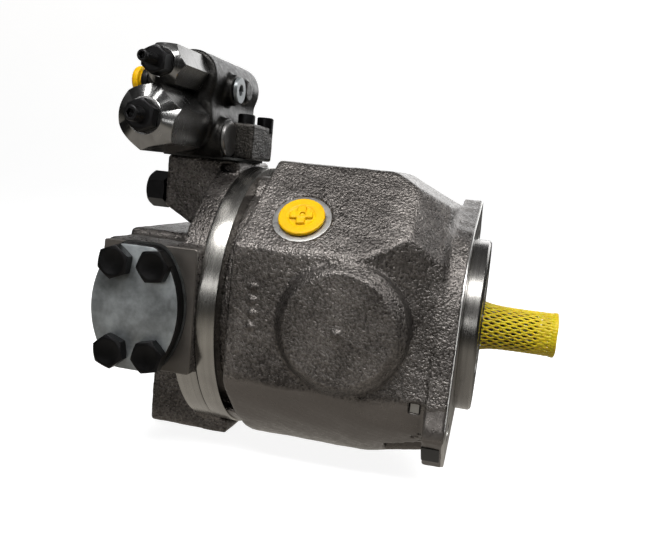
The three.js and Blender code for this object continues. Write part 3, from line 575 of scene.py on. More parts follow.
def body_section(x, y, z):
    """The main body: flat top, two 45 degree facets, flat sides and a round underside, each
    surface with its own way of closing towards the flange."""
    side_y = np.abs(y)
    round_under = np.sqrt(y * y + np.minimum(z, 0) ** 2)
    facet = (side_y + z) * DIAGONAL - DRAIN_PLANE
    section = smooth_max(1.8, z - TOP_Z, facet, side_y - SIDE_Y, round_under - UNDER_R)
    facet_end = (facet + (x + 31.0) * 0.95) * 0.72
    top_end = (z - TOP_Z + (x + 45.5) * 0.52) * 0.887
    flank_end = (side_y - SIDE_Y + (x + 52.0) * 0.58) * 0.865
    under_end = (round_under - UNDER_R + (x + 44.0) * 0.28) * 0.963
    closing = smooth_max(2.2, top_end, facet_end, flank_end, under_end)
    back = -121.2 + np.maximum(z - 38.0, 0) * 0.15 + np.maximum(-36.0 - z, 0) * 0.15 - x
    return smooth_max(1.6, section, closing, back, x + 13.0)


def boss_field(x, y, z):
    """Round bevelled bosses on both flanks."""
    side_y = np.abs(y)
    away = np.sqrt((x - BOSS_X) ** 2 + (z - BOSS_Z) ** 2)
    bevel = (away - 29.6 - (BOSS_FACE_Y - side_y) * 0.85) * 0.76
    return smooth_max(0.9, bevel, side_y - BOSS_FACE_Y, 50.0 - side_y, away - 35.4)


def housing_field(x, y, z):
    radius = np.sqrt(y * y + z * z)
    body = body_section(x, y, z)
    body = smooth_min(1.5, body, rod_field(x, y, z, -127.0, -100.0, 70.5, 0.4))
    low_rim = smooth_max(2.0, rod_field(x, y, z, -127.0, -100.0, 78.4, 0.6), z + 60.0)
    body = smooth_min(1.5, body, low_rim)
    bore_boss = rod_field(x, y - STROKE_Y, z - STROKE_Z, -127.0, -105.0, 14.2, 0.6)
    body = smooth_min(1.5, body, bore_boss)
    neck = smooth_max(3.0, flange_field(y, z, 57.0, 20.5), radius - 76.0, np.abs(x + 26.0) - 22.0)
    body = smooth_min(11.0, body, neck)
    rim = smooth_max(1.2, flange_field(y, z, 58.0, 22.0), np.abs(x + 6.3) - 5.6)
    body = smooth_min(2.0, body, rim)
    hollow_corner = np.sqrt(((x + 36.0) / 12.0) ** 2 + ((np.abs(y) - 79.0) / 6.5) ** 2
                            + ((z - 24.0) / 9.0) ** 2) - 1.0
    body = smooth_max(2.5, body, -hollow_corner * 6.5)
    body = smooth_min(1.2, body, boss_field(x, y, z))
    # plain pips where the photo has cast marks
    for height in (17.0, 10.0, 3.0, -4.0):
        pip = np.sqrt((x + 107.5) ** 2 + (z - height) ** 2 + (y + 74.4) ** 2) - 2.3
        body = smooth_min(1.0, body, pip)
    body = smooth_min(0.8, body, np.sqrt((x - BOSS_X) ** 2 + z * z + (y + 81.0) ** 2) - 2.3)
    body = body + ripple(x, y, z)
    # seats and bores of the two drain ports
    depths = ((-y + z) * DIAGONAL, (y + z) * DIAGONAL)
    for deep, wide in (depths, depths[::-1]):
        seat = rod_field(deep, x - DRAIN_X, wide + DRAIN_LOW, 78.6, 90.0, 16.3, 0.3)
        port = rod_field(deep, x - DRAIN_X, wide + DRAIN_LOW, 55.0, 82.0, 8.5, 0.3)
        body = smooth_max(0.6, body, -np.minimum(seat, port))
    # flange bolt holes; the lower pocket opens underneath only
    for s in (1, -1):
        hole_u, hole_v = y - s * EAR_AT, z - s * EAR_AT
        head = rod_field(x, hole_u, hole_v, -34.0, -12.0, 13.0, 0.5)
        if s < 0:
            head = box_field(x, y, z, (-34.0, -49.5, -100.0), (-12.0, -36.5, -40.0), 2.5)
        hole = rod_field(x, hole_u, hole_v, -20.0, 3.0, 7.0, 0.2)
        body = smooth_max(0.8, body, -np.minimum(head, hole))
    notch = box_field(x, y, z, (-20.5, -80.0, -39.5), (-14.5, -61.0, -33.6), 0.3)
    body = smooth_max(0.4, body, -notch)
    # hollow inside
    taper = np.minimum(60.0, 60.0 - (x + 44.0) * 8.0 / 29.0)
    hollow = np.maximum(radius - taper, np.abs(x + 77.0) - 62.0)
    bearing = np.maximum(radius - 26.4, np.abs(x + 10.0) - 20.0)
    stroke = np.maximum(np.sqrt((y - STROKE_Y) ** 2 + (z - STROKE_Z) ** 2) - 12.0,
                        np.abs(x + 86.0) - 52.0)
    stroke = np.where(x < -112.0, stroke + 2.0, stroke)
    return np.maximum(body, -np.minimum(np.minimum(hollow, bearing), stroke))


def facet_point(out, side):
    """A point on the drain port axis of the near (-1) or far (1) facet."""
    return (DRAIN_X, side * (out + DRAIN_LOW) * DIAGONAL, (out - DRAIN_LOW) * DIAGONAL)


def make_housing():
    body = field_surface(housing_field, (-129, -95, -95), (2, 95, 92), 1.25)
    piece("housing_casting", body, IRON_BODY, replaces=("housing",), sharp=0)
    band = [(BAND_BACK, 62.0), (BAND_BACK, BAND_R), (BAND_FRONT, BAND_R), (BAND_FRONT, 69.6),
            (-128.0, 69.0), (-128.0, 62.0)]
    piece("housing_band", turned(band, soft=0.5, sides=160, loop=True), TURNED_X)
    pilot = [(-1.2, 20.4), (-1.2, 53.5), (-0.3, 53.5), (-0.3, 49.2), (0.6, 49.2), (0.6, 50.0),
             (8.3, 50.0), (9.5, 48.8), (9.5, 31.0), (8.7, 30.2), (8.7, 24.0), (9.5, 23.2),
             (9.5, 20.4)]
    piece("flange_pilot", turned(pilot, soft=0.25, sides=144, loop=True), TURNED_PILOT)
    make_flange_face()
    # a black plate on the flat end of the lower ear: painted shade where that flat faces down and
    # away from the light
    tip = plate(rounded_box(-12.0, -7.6, -2.2, 7.6, 0.8), [(-0.5, 0.3), (0.2, 0.0), (0.45, 0.3)])
    piece("ear_tip_painted_shade", placed(tip, "low_ear", (0, -EAR_END * DIAGONAL, -EAR_END * DIAGONAL)),
          BLACK)
    pad = plate(rounded_box(-20.2, -39.2, -15.0, -34.0, 0.5), [(-1.0, 0.0), (0.0, 0.0), (0.3, 0.3)])
    piece("notch_pad", placed(pad, "-Y", (0, -64.5, 0)), FACED)
    seat = [(0, 8.6), (0, 16.2), (0.55, 16.0), (0.55, 12.6), (0.2, 12.3), (0.2, 9.3), (-0.4, 8.6)]
    for name, axis, side in (("drain_seat", "facet", -1), ("far_drain_seat", "far_facet", 1)):
        shape = turned(seat, axis, facet_point(78.7, side), 0.12, 96, loop=True)
        piece(name, shape, FACED)


def make_flange_face():
    """The milled front skin of the flange, with its two bolt holes and room for the pilot."""
    angles = np.radians(np.arange(0, 360, 2.0))
    outline = []
    for a in angles:
        u, v = math.cos(a), math.sin(a)
        low, high = 40.0, 100.0
        for _ in range(30):
            middle = (low + high) / 2
            inside = flange_field(np.array(middle * u), np.array(middle * v), 57.4, 21.4) < 0
            low, high = (middle, high) if inside else (low, middle)
        outline.append((low * u, low * v))
    skin = piece("flange_face", plate(outline, [(-1.5, 0.0), (-0.35, 0.0), (0.0, 0.4)]), FACED)
    for radius, at in ((7.0, EAR_AT), (7.0, -EAR_AT), (49.5, 0)):
        rod = turned([(-4, 0), (-4, radius), (4, radius), (4, 0)], at=(0, at, at))
        cut_away(skin, piece("cutter", rod, FACED))


def cut_away(target, cutter):
    """Takes one piece out of another for good, and removes the cutter."""
    modifier = target.modifiers.new("cut", "BOOLEAN")
    modifier.operation = "DIFFERENCE"
    modifier.solver = "EXACT"
    modifier.object = cutter
    bpy.context.view_layer.update()
    evaluated = target.evaluated_get(bpy.context.evaluated_depsgraph_get())
    mesh = bpy.data.meshes.new_from_object(evaluated)
    target.modifiers.clear()
    target.data = mesh
    mesh.shade_smooth()
    mesh.set_sharp_from_angle(angle=math.radians(SHARP_ANGLE))
    bpy.data.objects.remove(cutter)


# ---- drain plugs
def make_drain_plugs():
    """The yellow plug in the near port, with a raised cross in its dish, and a far screw plug."""

    def field(x, y, z):
        rim = np.sqrt(x * x + y * y)
        disc = rod_field(z, x, y, 0.3, 2.7, 12.7, 0.9)
        dish = rod_field(z, x, y, 2.2, 9.0, 7.4, 0.6)
        disc = smooth_max(0.6, disc, -dish)
        arms = smooth_min(0.8, box_field(x, y, z, (-6.2, -2.3, 1.0), (6.2, 2.3, 4.0), 0.8),
                          box_field(x, y, z, (-2.3, -6.2, 1.0), (2.3, 6.2, 4.0), 0.8))
        disc = smooth_min(0.6, disc, arms)
        disc = smooth_max(0.5, disc, -rod_field(z, x - 0.8, y, 3.0, 9.0, 1.5, 0.4))
        shank = rod_field(z, x, y, -10.0, 1.0, 7.9, 0.5)
        thread = 0.35 * np.abs(np.mod(z, 2.0) - 1.0) * (rim > 6.5)
        return smooth_min(0.4, disc, shank + thread)

    points, faces = field_surface(field, (-14, -14, -11), (14, 14, 5), 0.42)
    shape = placed((points[:, [2, 0, 1]], faces), "facet", facet_point(79.1, -1), 8)
    piece("drain_plug_yellow", shape, YELLOW, replaces=("drain_plug",), sharp=0)
    hexagon = hex_radius(10.0, 72)
    far = [(-9.0, 0.0), (-9.0, 8.2), (0.2, 8.2), (0.2, 11.5), (0.6, 12.0), (3.4, 12.0),
           (4.2, 11.2), (4.2, hexagon + 0.5), (3.8, hexagon), (-2.0, hexagon), (-2.6, 0.0)]
    piece("far_drain_screw", placed(stack(far, 72), "far_facet", facet_point(79.2, 1)), BLACK)


# ---- port plate
def port_plate_field(x, y, z):
    side_y = np.abs(y)
    radius = np.sqrt(y * y + z * z)
    rim = smooth_max(1.0, radius - 78.4, np.abs(x + 144.4) - 6.3)
    block = box_field(x, y, z, (-192.0, -81.6, PLATE_LOW_Z), (-138.2, 81.6, PLATE_TOP_Z), 1.2)
    shoulder = (side_y * 0.35 + z - 61.0) * 0.94
    block = smooth_max(3.0, block, shoulder)
    hub = box_field(x, y, z, (-194.8, -48.0, -44.0), (-149.0, 48.0, 37.5), 3.0)
    column = box_field(x, y, z, (-184.8, -28.0, -83.6), (-139.0, 28.0, 81.8), 2.5)
    undercut = np.where(z > 0, np.maximum(52.0 - z, 0) * 1.7, 0)
    column = smooth_max(2.0, column, (-184.8 + undercut - x) * 0.6)
    # the toe reaches forward under the band, and stays clear of it
    toe = box_field(x, y, z, (-150.0, -28.0, -83.6), (-133.6, 28.0, -60.0), 1.5)
    toe = np.maximum(toe, np.where(x > JOINT_X, 80.0 - radius, -1.0))
    column = np.minimum(column, toe)
    slot = rod_field(-y, (x + 145.5) * 0.7, (z - 76.8) * 1.3, 21.0, 60.0, 3.4, 0.3)
    body = smooth_min(4.0, block, hub)
    body = smooth_min(4.0, body, column)
    body = smooth_min(3.0, body, rim)
    body = body + ripple(x, y, z)
    spigot = rod_field(x, y, z, -141.0, -126.6, 42.4, 0.4)
    body = smooth_max(0.6, np.minimum(body, spigot), -slot)
    # milled flat for the port faces, then the passages and bores
    body = smooth_max(0.4, body, side_y - 81.8)
    for s, r in ((-1, 9.5), (1, 12.0)):
        inner = rod_field(x, y - s * 31.0, z, -170.0, -120.0, 8.0, 0.2)
        outer = rod_field(y * s, x - PORT_X, z, 31.0, 90.0, r, 0.2)
        body = np.maximum(body, -np.minimum(inner, outer))
    bores = [rod_field(x, y, z, -154.0, -120.0, 14.2, 0.2),
             rod_field(x, y - STROKE_Y, z - STROKE_Z, -190.0, -120.0, 7.8, 0.2),
             rod_field(x, y, z + 50.0, -160.0, -120.0, 4.6, 0.2)]
    for y_at, z_at in SCREW_PLACES:
        bores.append(rod_field(x, y - y_at, z - z_at, -200.0, -147.5, 6.6, 0.4))
    for bore in bores:
        body = smooth_max(0.6, body, -bore)
    return body


def make_port_plate():
    body = field_surface(port_plate_field, (-198, -86, -88), (-124, 86, 86), 1.2)
    piece("port_plate_casting", body, IRON, replaces=("port_plate",), sharp=0)
    joint = [(JOINT_X, 62.0), (JOINT_X, 78.2), (-137.2, 78.2), (-137.2, 62.0)]
    piece("joint_gasket", turned(joint, soft=0.1, sides=160, loop=True), GASKET)
    section = ((-150.6, 76.0), (-150.6, 78.6), (-150.2, 79.0), (-138.4, 79.0), (JOINT_X, 78.6),
               (JOINT_X, 76.0))
    rows = [[(x, r * math.cos(angle), r * math.sin(angle)) for x, r in section]
            for angle in np.radians(np.linspace(-154.0, -26.0, 73))]
    piece("rim_machined_arc", tube(rows), TURNED_X)
    for name, axis, y, left, right in (("port_face_near", "-Y", -81.4, -25.0, 28.7),
                                       ("port_face_far", "+Y", 81.4, -28.7, 25.0)):
        face = plate(rounded_box(left, -34.0, right, 33.6, 1.5),
                     [(-0.8, 0.0), (0.1, 0.0), (0.5, 0.4)])
        piece(name, placed(face, axis, (PORT_X, y, 0)), IRON_FACED)
    hexagon = hex_radius(6.0, 48)
    head = [(-147.6, 0.0), (-147.6, 5.6), (-154.6, 5.6), (-155.3, 4.9), (-155.3, hexagon),
            (-151.5, hexagon), (-150.6, 0.0)]
    for index, (y, z) in enumerate(SCREW_PLACES):
        piece(f"port_plate_screw_{index + 1}",
              placed(stack(head, 48), "+X", (0, y, z), index * 17), BLACK)
    plug = merged(
        hex_shape(19.0, 0.0, 12.0, 0.94),
        turned([(-9.0, 0.0), (-9.0, 7.3), (0.5, 7.3), (0.5, 0.0)], sides=48),
    )
    piece("stroking_bore_plug_black", placed(plug, "-X", (-185.2, STROKE_Y, STROKE_Z), 30), BLACK,
          replaces=("stroking_bore_plug",))


# ---- covers
def cover_outline(half_width, half_height, side_r, swell=0.0):
    """Outline of a blanking cover in X and Z round the port axis, counter-clockwise: bowed
    sides, straight top and bottom. Swell pushes it out by that much."""
    half_angle = math.degrees(math.asin((half_height - 4.0) / side_r))
    right = [(half_width - side_r + side_r * math.cos(a), side_r * math.sin(a))
             for a in np.radians(np.linspace(-half_angle, half_angle, 25))]
    left = [(-x, -z) for x, z in right]
    reach = right[-1][0] - 5.0
    path = right + [(reach, half_height)] + [(-reach, half_height)] + left
    path += [(-reach, -half_height), (reach, -half_height)]
    path = rounded(path, 5.0, closed=True)
    return [(x * (1 + swell / half_width), z * (1 + swell / half_height)) for x, z in path]


def make_cover(name, side, size, spacing, node, bolt_nodes, spins):
    """A slab in black with a zinc-plated face skin, its gasket and four bolts; the black sides are
    painted shade on the plate's edges. Size is half the width, half the height and the radius of
    the bowed sides."""
    axis = "-Y" if side < 0 else "+Y"
    at = (PORT_X + (side < 0) * -0.9, side * PORT_FACE_Y, 0)
    outline = cover_outline(*size)
    # black all round, so that the slab's sides show as painted shade on the plate's edges
    slab = plate(outline, [(1.25, 0.35), (1.6, 0.0), (8.0, 0.0), (8.5, 0.45)])
    piece(name, placed(slab, axis, at), BLACK, replaces=(node,))
    skin = plate(outline, [(7.6, 1.2), (8.5, 0.4), (8.9, 0.5), (9.2, 1.1)])
    piece(name + "_face", placed(skin, axis, at), ZINC)
    washer = plate(cover_outline(*size, swell=1.0), [(0.0, 0.2), (0.3, 0.0), (1.3, 0.0)])
    piece(name + "_gasket", placed(washer, axis, at), GASKET)
    for index, (sx, sz) in enumerate(((1, 1), (-1, 1), (-1, -1), (1, -1))):
        head = merged(
            hex_shape(16.0, 0.0, 6.4, 0.94, dish=0.25),
            turned([(-24.0, 0.0), (-24.0, 4.6), (0.4, 4.6), (0.4, 0.0)], sides=32),
        )
        place = (PORT_X + sx * spacing[0] / 2, side * 91.3, sz * spacing[1] / 2)
        piece(f"{name}_bolt_{index + 1}", placed(head, axis, place, spins[index]), BLACK,
              replaces=bolt_nodes[index:index + 1])


# ---- controller
def controller_field(x, y, z):
    (px, pz), (fx, fz) = PRESSURE_AXIS, FLOW_AXIS
    lower = rod_field(y, x - px, z - pz - 0.8, -44.8, 29.2, 17.3, 1.4)
    upper = rod_field(y, x - fx, z - fz + 0.8, -44.8, 29.2, 14.2, 2.2)
    web = box_field(x, y, z, (px - 13.5, -44.0, pz), (fx + 12.0, 27.5, fz), 2.0)
    base = box_field(x, y, z, (px - 17.0, -36.0, 82.7), (fx + 13.0, 27.5, pz), 2.0)
    body = smooth_min(5.0, smooth_min(4.0, lower, upper), web)
    body = smooth_min(3.0, body, base)
    side_boss = rod_field(x, y - SIDE_PLUG_Y, z - UPPER_PLUG_Z, -162.0, -146.2, 9.0, 0.8)
    blank = rod_field(x, y - BLANK_PLUG_Y, z - BLANK_PLUG_Z, -166.0, -146.0, 11.8, 0.8)
    rear = rod_field(x, y + 37.0, z - UPPER_PLUG_Z, px - 24.0, px - 8.0, 7.6, 0.6)
    lug = rod_field(x, y - 6.0, z - 124.0, -164.0, -148.5, 6.5, 1.5)
    body = smooth_min(2.5, body, side_boss, blank, rear, lug)
    body = body + ripple(x, y, z, 0.07)
    bores = [rod_field(y, x - px, z - pz, -50.0, 18.0, 5.4, 0.2),
             rod_field(y, x - fx, z - fz, -50.0, 18.0, 4.4, 0.2),
             rod_field(x, y - SIDE_PLUG_Y, z - UPPER_PLUG_Z, -154.0, -140.0, 5.3, 0.2)]
    for bore in bores:
        body = smooth_max(0.5, body, -bore)
    return body


def foot_field(x, y, z):
    foot = box_field(x, y, z, (-155.0, -23.0, 82.7), (-133.2, 13.5, 103.6), 1.4)
    return foot + ripple(x, y, z, 0.1)


def cap_shape(flats, shoulder, front, nose, hole, room):
    """Hexagonal spring cap: a turned cone from the shoulder to the front, a chamfered hexagon
    behind it, and a hollow of radius `room` inside."""
    sides = 144
    wide = hex_radius(flats, sides)
    inner = flats / 2 - 0.35
    slope = (inner - nose) / (front - shoulder)
    # where the turned cone cuts the hexagon
    edge = (front - np.maximum(np.minimum(wide, inner) - nose, 0) / slope
            - np.maximum(wide - inner, 0) * 1.7)
    rings = [(CAP_BACK + 2, room), (CAP_BACK, room), (CAP_BACK, inner - 0.4),
             (CAP_BACK + 0.5, inner), (CAP_BACK + 0.5 + (wide - inner) * 0.6, wide),
             (edge - 0.35, wide), (edge, wide - 0.2), (front - 0.25, nose + 0.3), (front, nose),
             (front, hole + 1.2), (front - 0.8, hole), (shoulder - 2, hole),
             (shoulder - 4, room), (CAP_BACK + 4, room)]
    return stack(rings, sides, loop=True)


def make_controller():
    body = field_surface(controller_field, (-195, -48, 80), (-130, 31, 145), 0.85)
    piece("controller_casting", body, IRON_FINE, replaces=("control_body",), sharp=0)
    foot = field_surface(foot_field, (-158, -35, 80), (-130, 17, 106), 0.9)
    piece("controller_foot", foot, IRON_OILY, sharp=0)
    sheet = plate([(-184.0, -34.0), (-138.5, -34.0), (-138.5, 12.5), (-184.0, 12.5)],
                  [(81.3, 0.4), (81.7, 0.0), (82.9, 0.0)])
    piece("controller_gasket", placed(sheet, "+Z", (0, 0, 0)), GASKET)
    # caps, lock nuts and adjusting screws stand out towards -Y; positions are -y
    valves = (
        ("pressure", PRESSURE_AXIS, 31.4, (89.2, 90.4), (9.6, 4.4, 12.2), 16, (15.0, 6.0),
         (4.1, 105.0)),
        ("flow", FLOW_AXIS, 20.2, (81.4, 82.5), (7.6, 3.4, 7.4), 0, (13.0, 9.0), (3.1, 103.5)),
    )
    for name, (x, z), flats, (shoulder, front), radii, spin, nut, (screw_r, tip) in valves:
        at = (x, 0, z)
        cap = cap_shape(flats, shoulder, front, *radii)
        piece(name + "_cap_turned", placed(cap, "-Y", at, spin), TURNED_Y,
              replaces=(name + "_cap",), sharp=22.0)
        nut_flats, nut_height = nut
        nut = hex_shape(nut_flats, front + 0.3, front + 0.3 + nut_height, 0.93)
        piece(name + "_nut_black", placed(nut, "-Y", at, 24), BLACK,
              body=name + "_nut", replaces=(name + "_lock_nut",))
        piece(name + "_screw_black", placed(screw_shape(screw_r, shoulder - 6.0, tip), "-Y", at),
              BLACK, body=name + "_screw", replaces=(name + "_adjusting_screw",))
    hexagon = hex_radius(6.0, 48)
    zinc = [(-6.0, 0.0), (-6.0, 4.8), (0.2, 4.8), (0.2, 7.2), (0.5, 7.6), (1.8, 7.6), (2.3, 7.1),
            (2.3, hexagon + 0.5), (1.9, hexagon), (-2.0, hexagon), (-2.4, 0.0)]
    piece("control_side_plug_zinc",
          placed(stack(zinc, 48), "+X", (-145.9, SIDE_PLUG_Y, UPPER_PLUG_Z)), ZINC,
          replaces=("control_side_plug",))
    blank = [(-3.0, 0.0), (-3.0, 10.4), (1.1, 10.4), (1.9, 9.6), (1.9, 0.0)]
    piece("control_blank_plug",
          turned(blank, "+X", (-146.0, BLANK_PLUG_Y, BLANK_PLUG_Z), 0.3, 64), DARK_STEEL)
    stub = [(0.0, 0.0), (0.0, 7.4), (3.4, 7.4), (3.8, 7.0), (3.8, 0.0)]
    piece("control_port_collar",
          turned(stub, "-X", (-191.8, PORT_PLUG_Y, UPPER_PLUG_Z), 0.3, 48), BLACK)
    lid = [(0.0, 0.0), (0.0, 5.3), (1.9, 5.3), (1.9, 8.0), (4.6, 8.0), (6.1, 6.9), (6.1, 0.0)]
    piece("control_port_plug_yellow",
          turned(lid, "-X", (-195.4, PORT_PLUG_Y, UPPER_PLUG_Z), 0.9, 64), YELLOW,
          replaces=("control_port_plug",))
    hexagon = hex_radius(4.0, 48)
    head = [(100.7, 0.0), (100.7, 5.1), (109.4, 5.1), (110.0, 4.5), (110.0, hexagon),
            (106.5, hexagon), (106.0, 0.0)]
    for index, (x, y) in enumerate(((-143.0, -10.0), (-137.4, 8.5))):
        piece(f"control_foot_screw_{index + 1}",
              placed(stack(head, 48), "+Z", (x, y, -0.5), 12 + index * 20), BLACK)


def screw_shape(r, start, end):
    """Threaded adjusting screw with a hexagon socket in its outer end."""
    sides = 36
    thread = thread_rings(r, start, end - 0.8, 1.25, sides)
    hexagon = hex_radius(r * 0.95, sides)
    tip = [(end - 0.3, r - 0.35), (end, r - 0.8), (end, hexagon + 0.2), (end - 0.3, hexagon),
           (end - 3.0, hexagon), (end - 3.6, 0.0)]
    return stack([(start, 0.0)] + thread + tip, sides)


# ---- shaft end
def make_shaft_end():
    """The whole shaft with its splined end, and the snap ring and lip seal round it."""
    sides = 156
    angle = np.arange(sides) / sides * 13
    tooth = np.clip(np.abs(np.mod(angle, 1.0) - 0.5) * 4 - 0.6, 0, 1)
    spline = 11.1 - 1.5 * tooth
    rings = [(-152.0, 0.0), (-152.0, 9.4), (-151.4, 10.0), (-128.4, 10.0), (-128.0, 12.0),
             (-127.6, SHAFT_R), (-25.4, SHAFT_R), (-25.0, 15.6), (-24.6, 16.0), (-21.6, 16.0),
             (-21.2, 15.6), (-21.0, SHAFT_R), (8.0, SHAFT_R), (9.4, 11.8), (11.0, 11.1),
             (14.0, 11.1), (15.0, spline), (38.6, spline), (40.6, spline - 1.4), (41.0, 9.0),
             (41.0, 3.2), (39.6, 1.9), (36.0, 1.9), (35.0, 0.0)]
    # the shaft is drawn in dark steel as painted shade under the net
    piece("shaft_end_splined", stack(rings, sides), SHADED_SHAFT_STEEL,
          body="rotating_group", replaces=("drive_shaft",))
    ring = [(8.2, 15.4), (8.2, 19.6), (9.2, 19.6), (9.2, 15.4)]
    piece("seal_snap_ring", turned(ring, soft=0.2, sides=96, loop=True), DARK_STEEL)
    seal = [(0.6, 20.2), (7.7, 20.2), (7.7, 17.4), (6.6, 16.8), (7.2, 14.6), (6.6, 12.7),
            (5.0, 12.9), (3.8, 15.6), (0.6, 17.4)]
    piece("shaft_seal_lip", turned(seal, soft=0.3, sides=96, loop=True), SEAL,
          replaces=("shaft_seal",))


def sleeve_radius(x):
    """Middle radius of the net: flared over the pilot, then settling on the shaft."""
    flare = math.exp(-(x - 10.0) / 6.0)
    return 12.05 + 2.0 * flare + 0.25 * math.exp((x - 52.0) / 5.0)


def make_sleeve():
    """Protective net of wavy strands that touch by turns, with a solid hem at the end."""
    strands, wave_length, start, end = 44, 6.2, 10.2, 50.2
    thick, twist = 0.42, 0.006
    pitch = FULL_TURN / strands
    parts = []
    for strand in range(strands):
        sign = 1 if strand % 2 else -1
        rows = []
        for x in np.arange(start, end, 0.62):
            wave = math.cos(FULL_TURN * x / wave_length)
            r = sleeve_radius(x) + 0.12 * sign * wave
            width = 0.70 + 0.25 * min(1.0, max(0.0, (x - 39.0) / 4.0))
            theta = strand * pitch + sign * 0.25 * pitch * wave + (x - start) * twist
            rows.append([(x, (r + thick * math.sin(a)) * math.cos(theta + width * math.cos(a) / r),
                          (r + thick * math.sin(a)) * math.sin(theta + width * math.cos(a) / r))
                         for a in turn(6)])
        parts.append(tube(rows))
    sides = 156
    angle = turn(sides)
    crimp = 0.16 * np.cos(angle * strands)
    hem = [(x + 0.12 * np.cos(angle * 5), r + crimp)
           for x, r in ((49.2, 11.75), (48.9, 12.3), (49.4, 12.75), (51.4, 12.85), (52.0, 12.5),
                        (51.9, 11.95), (51.2, 11.7))]
    shape = merged(*parts, stack(hem, sides, loop=True))
    piece("shaft_sleeve_net", shape, NET, body="rotating_group",
          replaces=("shaft_sleeve",), sharp=50)


# ---- the pieces inside keep their CAD shape
CAD_FINISH = {
    "ground_steel": GROUND, "bearing_steel": RACES, "dark_steel": DARK_STEEL, "bronze": BRONZE,
    "spring_steel": WIRE, "black_oxide": BLACK, "seal_rubber": SEAL, "cast_iron": IRON,
    "machined_steel": TURNED_Y, "zinc_plate": ZINC, "yellow_plastic": YELLOW,
    "olive_plastic": NET,
}


def finish_cad_nodes():
    slots = {s["node"]: s["material_slot"] for s in frame["record"]["subparts"]}
    for name, node in frame["nodes"].items():
        node.data.materials.clear()
        node.data.materials.append(CAD_FINISH[slots[name]])


# ---- camera, floor and light
def make_camera():
    yaw, pitch, roll = (math.radians(a) for a in (13.05, 7.92, 5.65))
    ahead = Vector((-math.sin(yaw) * math.cos(pitch), math.cos(yaw) * math.cos(pitch),
                    -math.sin(pitch)))
    right = Vector((math.cos(yaw), math.sin(yaw), 0))
    up = right.cross(ahead)
    across = math.cos(roll) * right + math.sin(roll) * up
    over = -math.sin(roll) * right + math.cos(roll) * up
    data = bpy.data.cameras.new("camera")
    data.sensor_width = SENSOR
    data.lens = FOCAL_PIXELS * SENSOR / FRAME_PIXELS
    data.clip_start, data.clip_end = 0.01, 50.0
    camera = bpy.data.objects.new("camera", data)
    camera.matrix_world = Matrix((across, over, -ahead)).transposed().to_4x4()
    camera.location = (0.0175, -0.4416, 0.0809)
    bpy.context.scene.collection.objects.link(camera)
    bpy.context.scene.camera = camera


def stage_piece(name, points, faces, material):
    """Part of the studio. It shows to the camera but neither tints nor mirrors in the pump."""
    made = mesh_object(name, points, faces, material)
    made.visible_glossy = False
    made.visible_diffuse = False
    return made


def make_floor(material):
    """A floor that bends up into a wall behind the pump."""
    half_width, bend_at, bend_r = 4.0, 1.2, 0.8
    bend = [(bend_at + bend_r * math.sin(a), FLOOR_Z + bend_r * (1 - math.cos(a)))
            for a in np.radians(np.linspace(0, 90, 13))]
    path = [(-3.0, FLOOR_Z), (bend_at, FLOOR_Z)] + bend[1:] + [(2.0, 3.5)]
    points = [(PUMP_MIDDLE[0] + side * half_width, y, z) for y, z in path for side in (-1, 1)]
    faces = [[2 * i, 2 * i + 1, 2 * i + 3, 2 * i + 2] for i in range(len(path) - 1)]
    stage_piece("floor", points, faces, material)


def make_surround(material):
    """A round pale wall behind the floor, for views from the other sides."""
    radius, height, steps = 2.9, 4.0, 64
    points = [(radius * math.cos(a), radius * math.sin(a), z)
              for a in turn(steps) for z in (FLOOR_Z, height)]
    faces = [[2 * i, 2 * i + 1, 2 * j + 1, 2 * j]
             for i, j in zip(range(steps), [*range(1, steps), 0])]
    stage_piece("surround", points, faces, material).visible_shadow = False


def area_light(name, at, size, power):
    data = bpy.data.lights.new(name, "AREA")
    data.shape = "RECTANGLE"
    data.size, data.size_y = size
    data.energy = power
    light = bpy.data.objects.new(name, data)
    light.location = at
    aim = Vector(PUMP_MIDDLE) - Vector(at)
    light.rotation_euler = aim.to_track_quat("-Z", "Y").to_euler()
    bpy.context.scene.collection.objects.link(light)
    return light


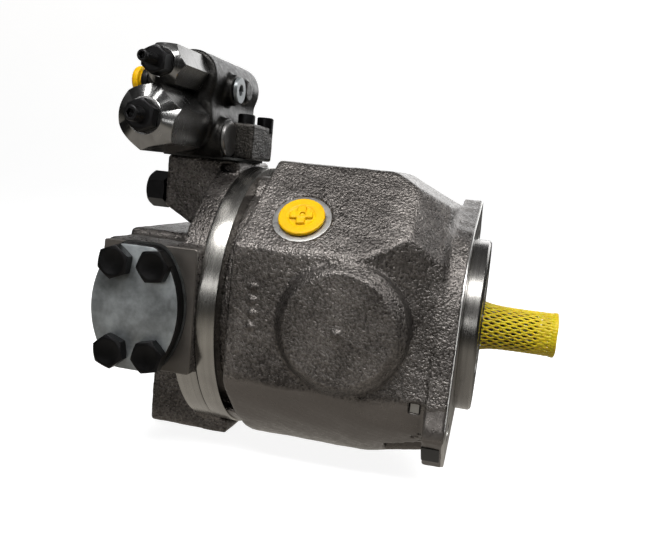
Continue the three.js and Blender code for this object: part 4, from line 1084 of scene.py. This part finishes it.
def make_world():
    """Soft surroundings: pale overhead and underneath, dim at eye level."""
    world = bpy.data.worlds.new("studio")
    world.use_nodes = True
    tree = world.node_tree
    height = tree.nodes.new("ShaderNodeSeparateXYZ")
    around = tree.nodes.new("ShaderNodeTexCoord")
    scaled = tree.nodes.new("ShaderNodeMapRange")
    scaled.inputs["From Min"].default_value = -1.0
    ramp = tree.nodes.new("ShaderNodeValToRGB")
    set_stops(ramp.color_ramp, [
        (0.0, (0.50, 0.47, 0.43)), (0.28, (0.58, 0.545, 0.49)), (0.37, (0.16, 0.15, 0.13)),
        (0.44, (0.012, 0.012, 0.01)), (0.57, (0.018, 0.018, 0.018)), (0.72, (0.07, 0.07, 0.07)),
        (1.0, (0.17, 0.17, 0.17))])
    tree.links.new(around.outputs["Generated"], height.inputs[0])
    tree.links.new(height.outputs["Z"], scaled.inputs["Value"])
    tree.links.new(scaled.outputs["Result"], ramp.inputs["Fac"])
    tree.links.new(ramp.outputs["Color"], tree.nodes["Background"].inputs["Color"])
    bpy.context.scene.world = world


def make_studio():
    kit = Nodes("pale_floor")
    kit.finish(kit.grey(kit.noise(6, detail=2), [(0.3, 0.39), (0.7, 0.42)]), 0.7,
               Emission_Color=(1, 1, 1, 1), Emission_Strength=0.88)
    make_floor(kit.material)
    make_surround(kit.material)
    make_world()
    area_light("key_top", (-0.05, -0.62, 0.92), (1.1, 0.26), 16)
    area_light("front_strip", (-0.3, -1.25, 0.27), (1.2, 0.1), 2.0)
    area_light("right_box", (0.78, -0.2, 0.95), (0.25, 0.45), 4.5)
    area_light("rim_back", (0.1, 1.1, 0.45), (1.8, 0.5), 7).visible_camera = False
    bpy.context.scene.view_settings.view_transform = "Standard"


# ---- build
make_camera()
make_housing()
make_drain_plugs()
make_port_plate()
make_cover("pressure_cover_plate", -1, (25.2, 33.6, 48.0), (22.2, 47.6), "pressure_cover",
           [f"pressure_cover_bolt_{i}" for i in (1, 2, 3, 4)], (8, 22, 40, 14))
make_cover("suction_cover_plate", 1, (31.0, 36.0, 52.0), (30.2, 52.0), "suction_cover",
           [], (5, 31, 12, 50))
make_controller()
make_shaft_end()
make_sleeve()
finish_cad_nodes()
make_studio()
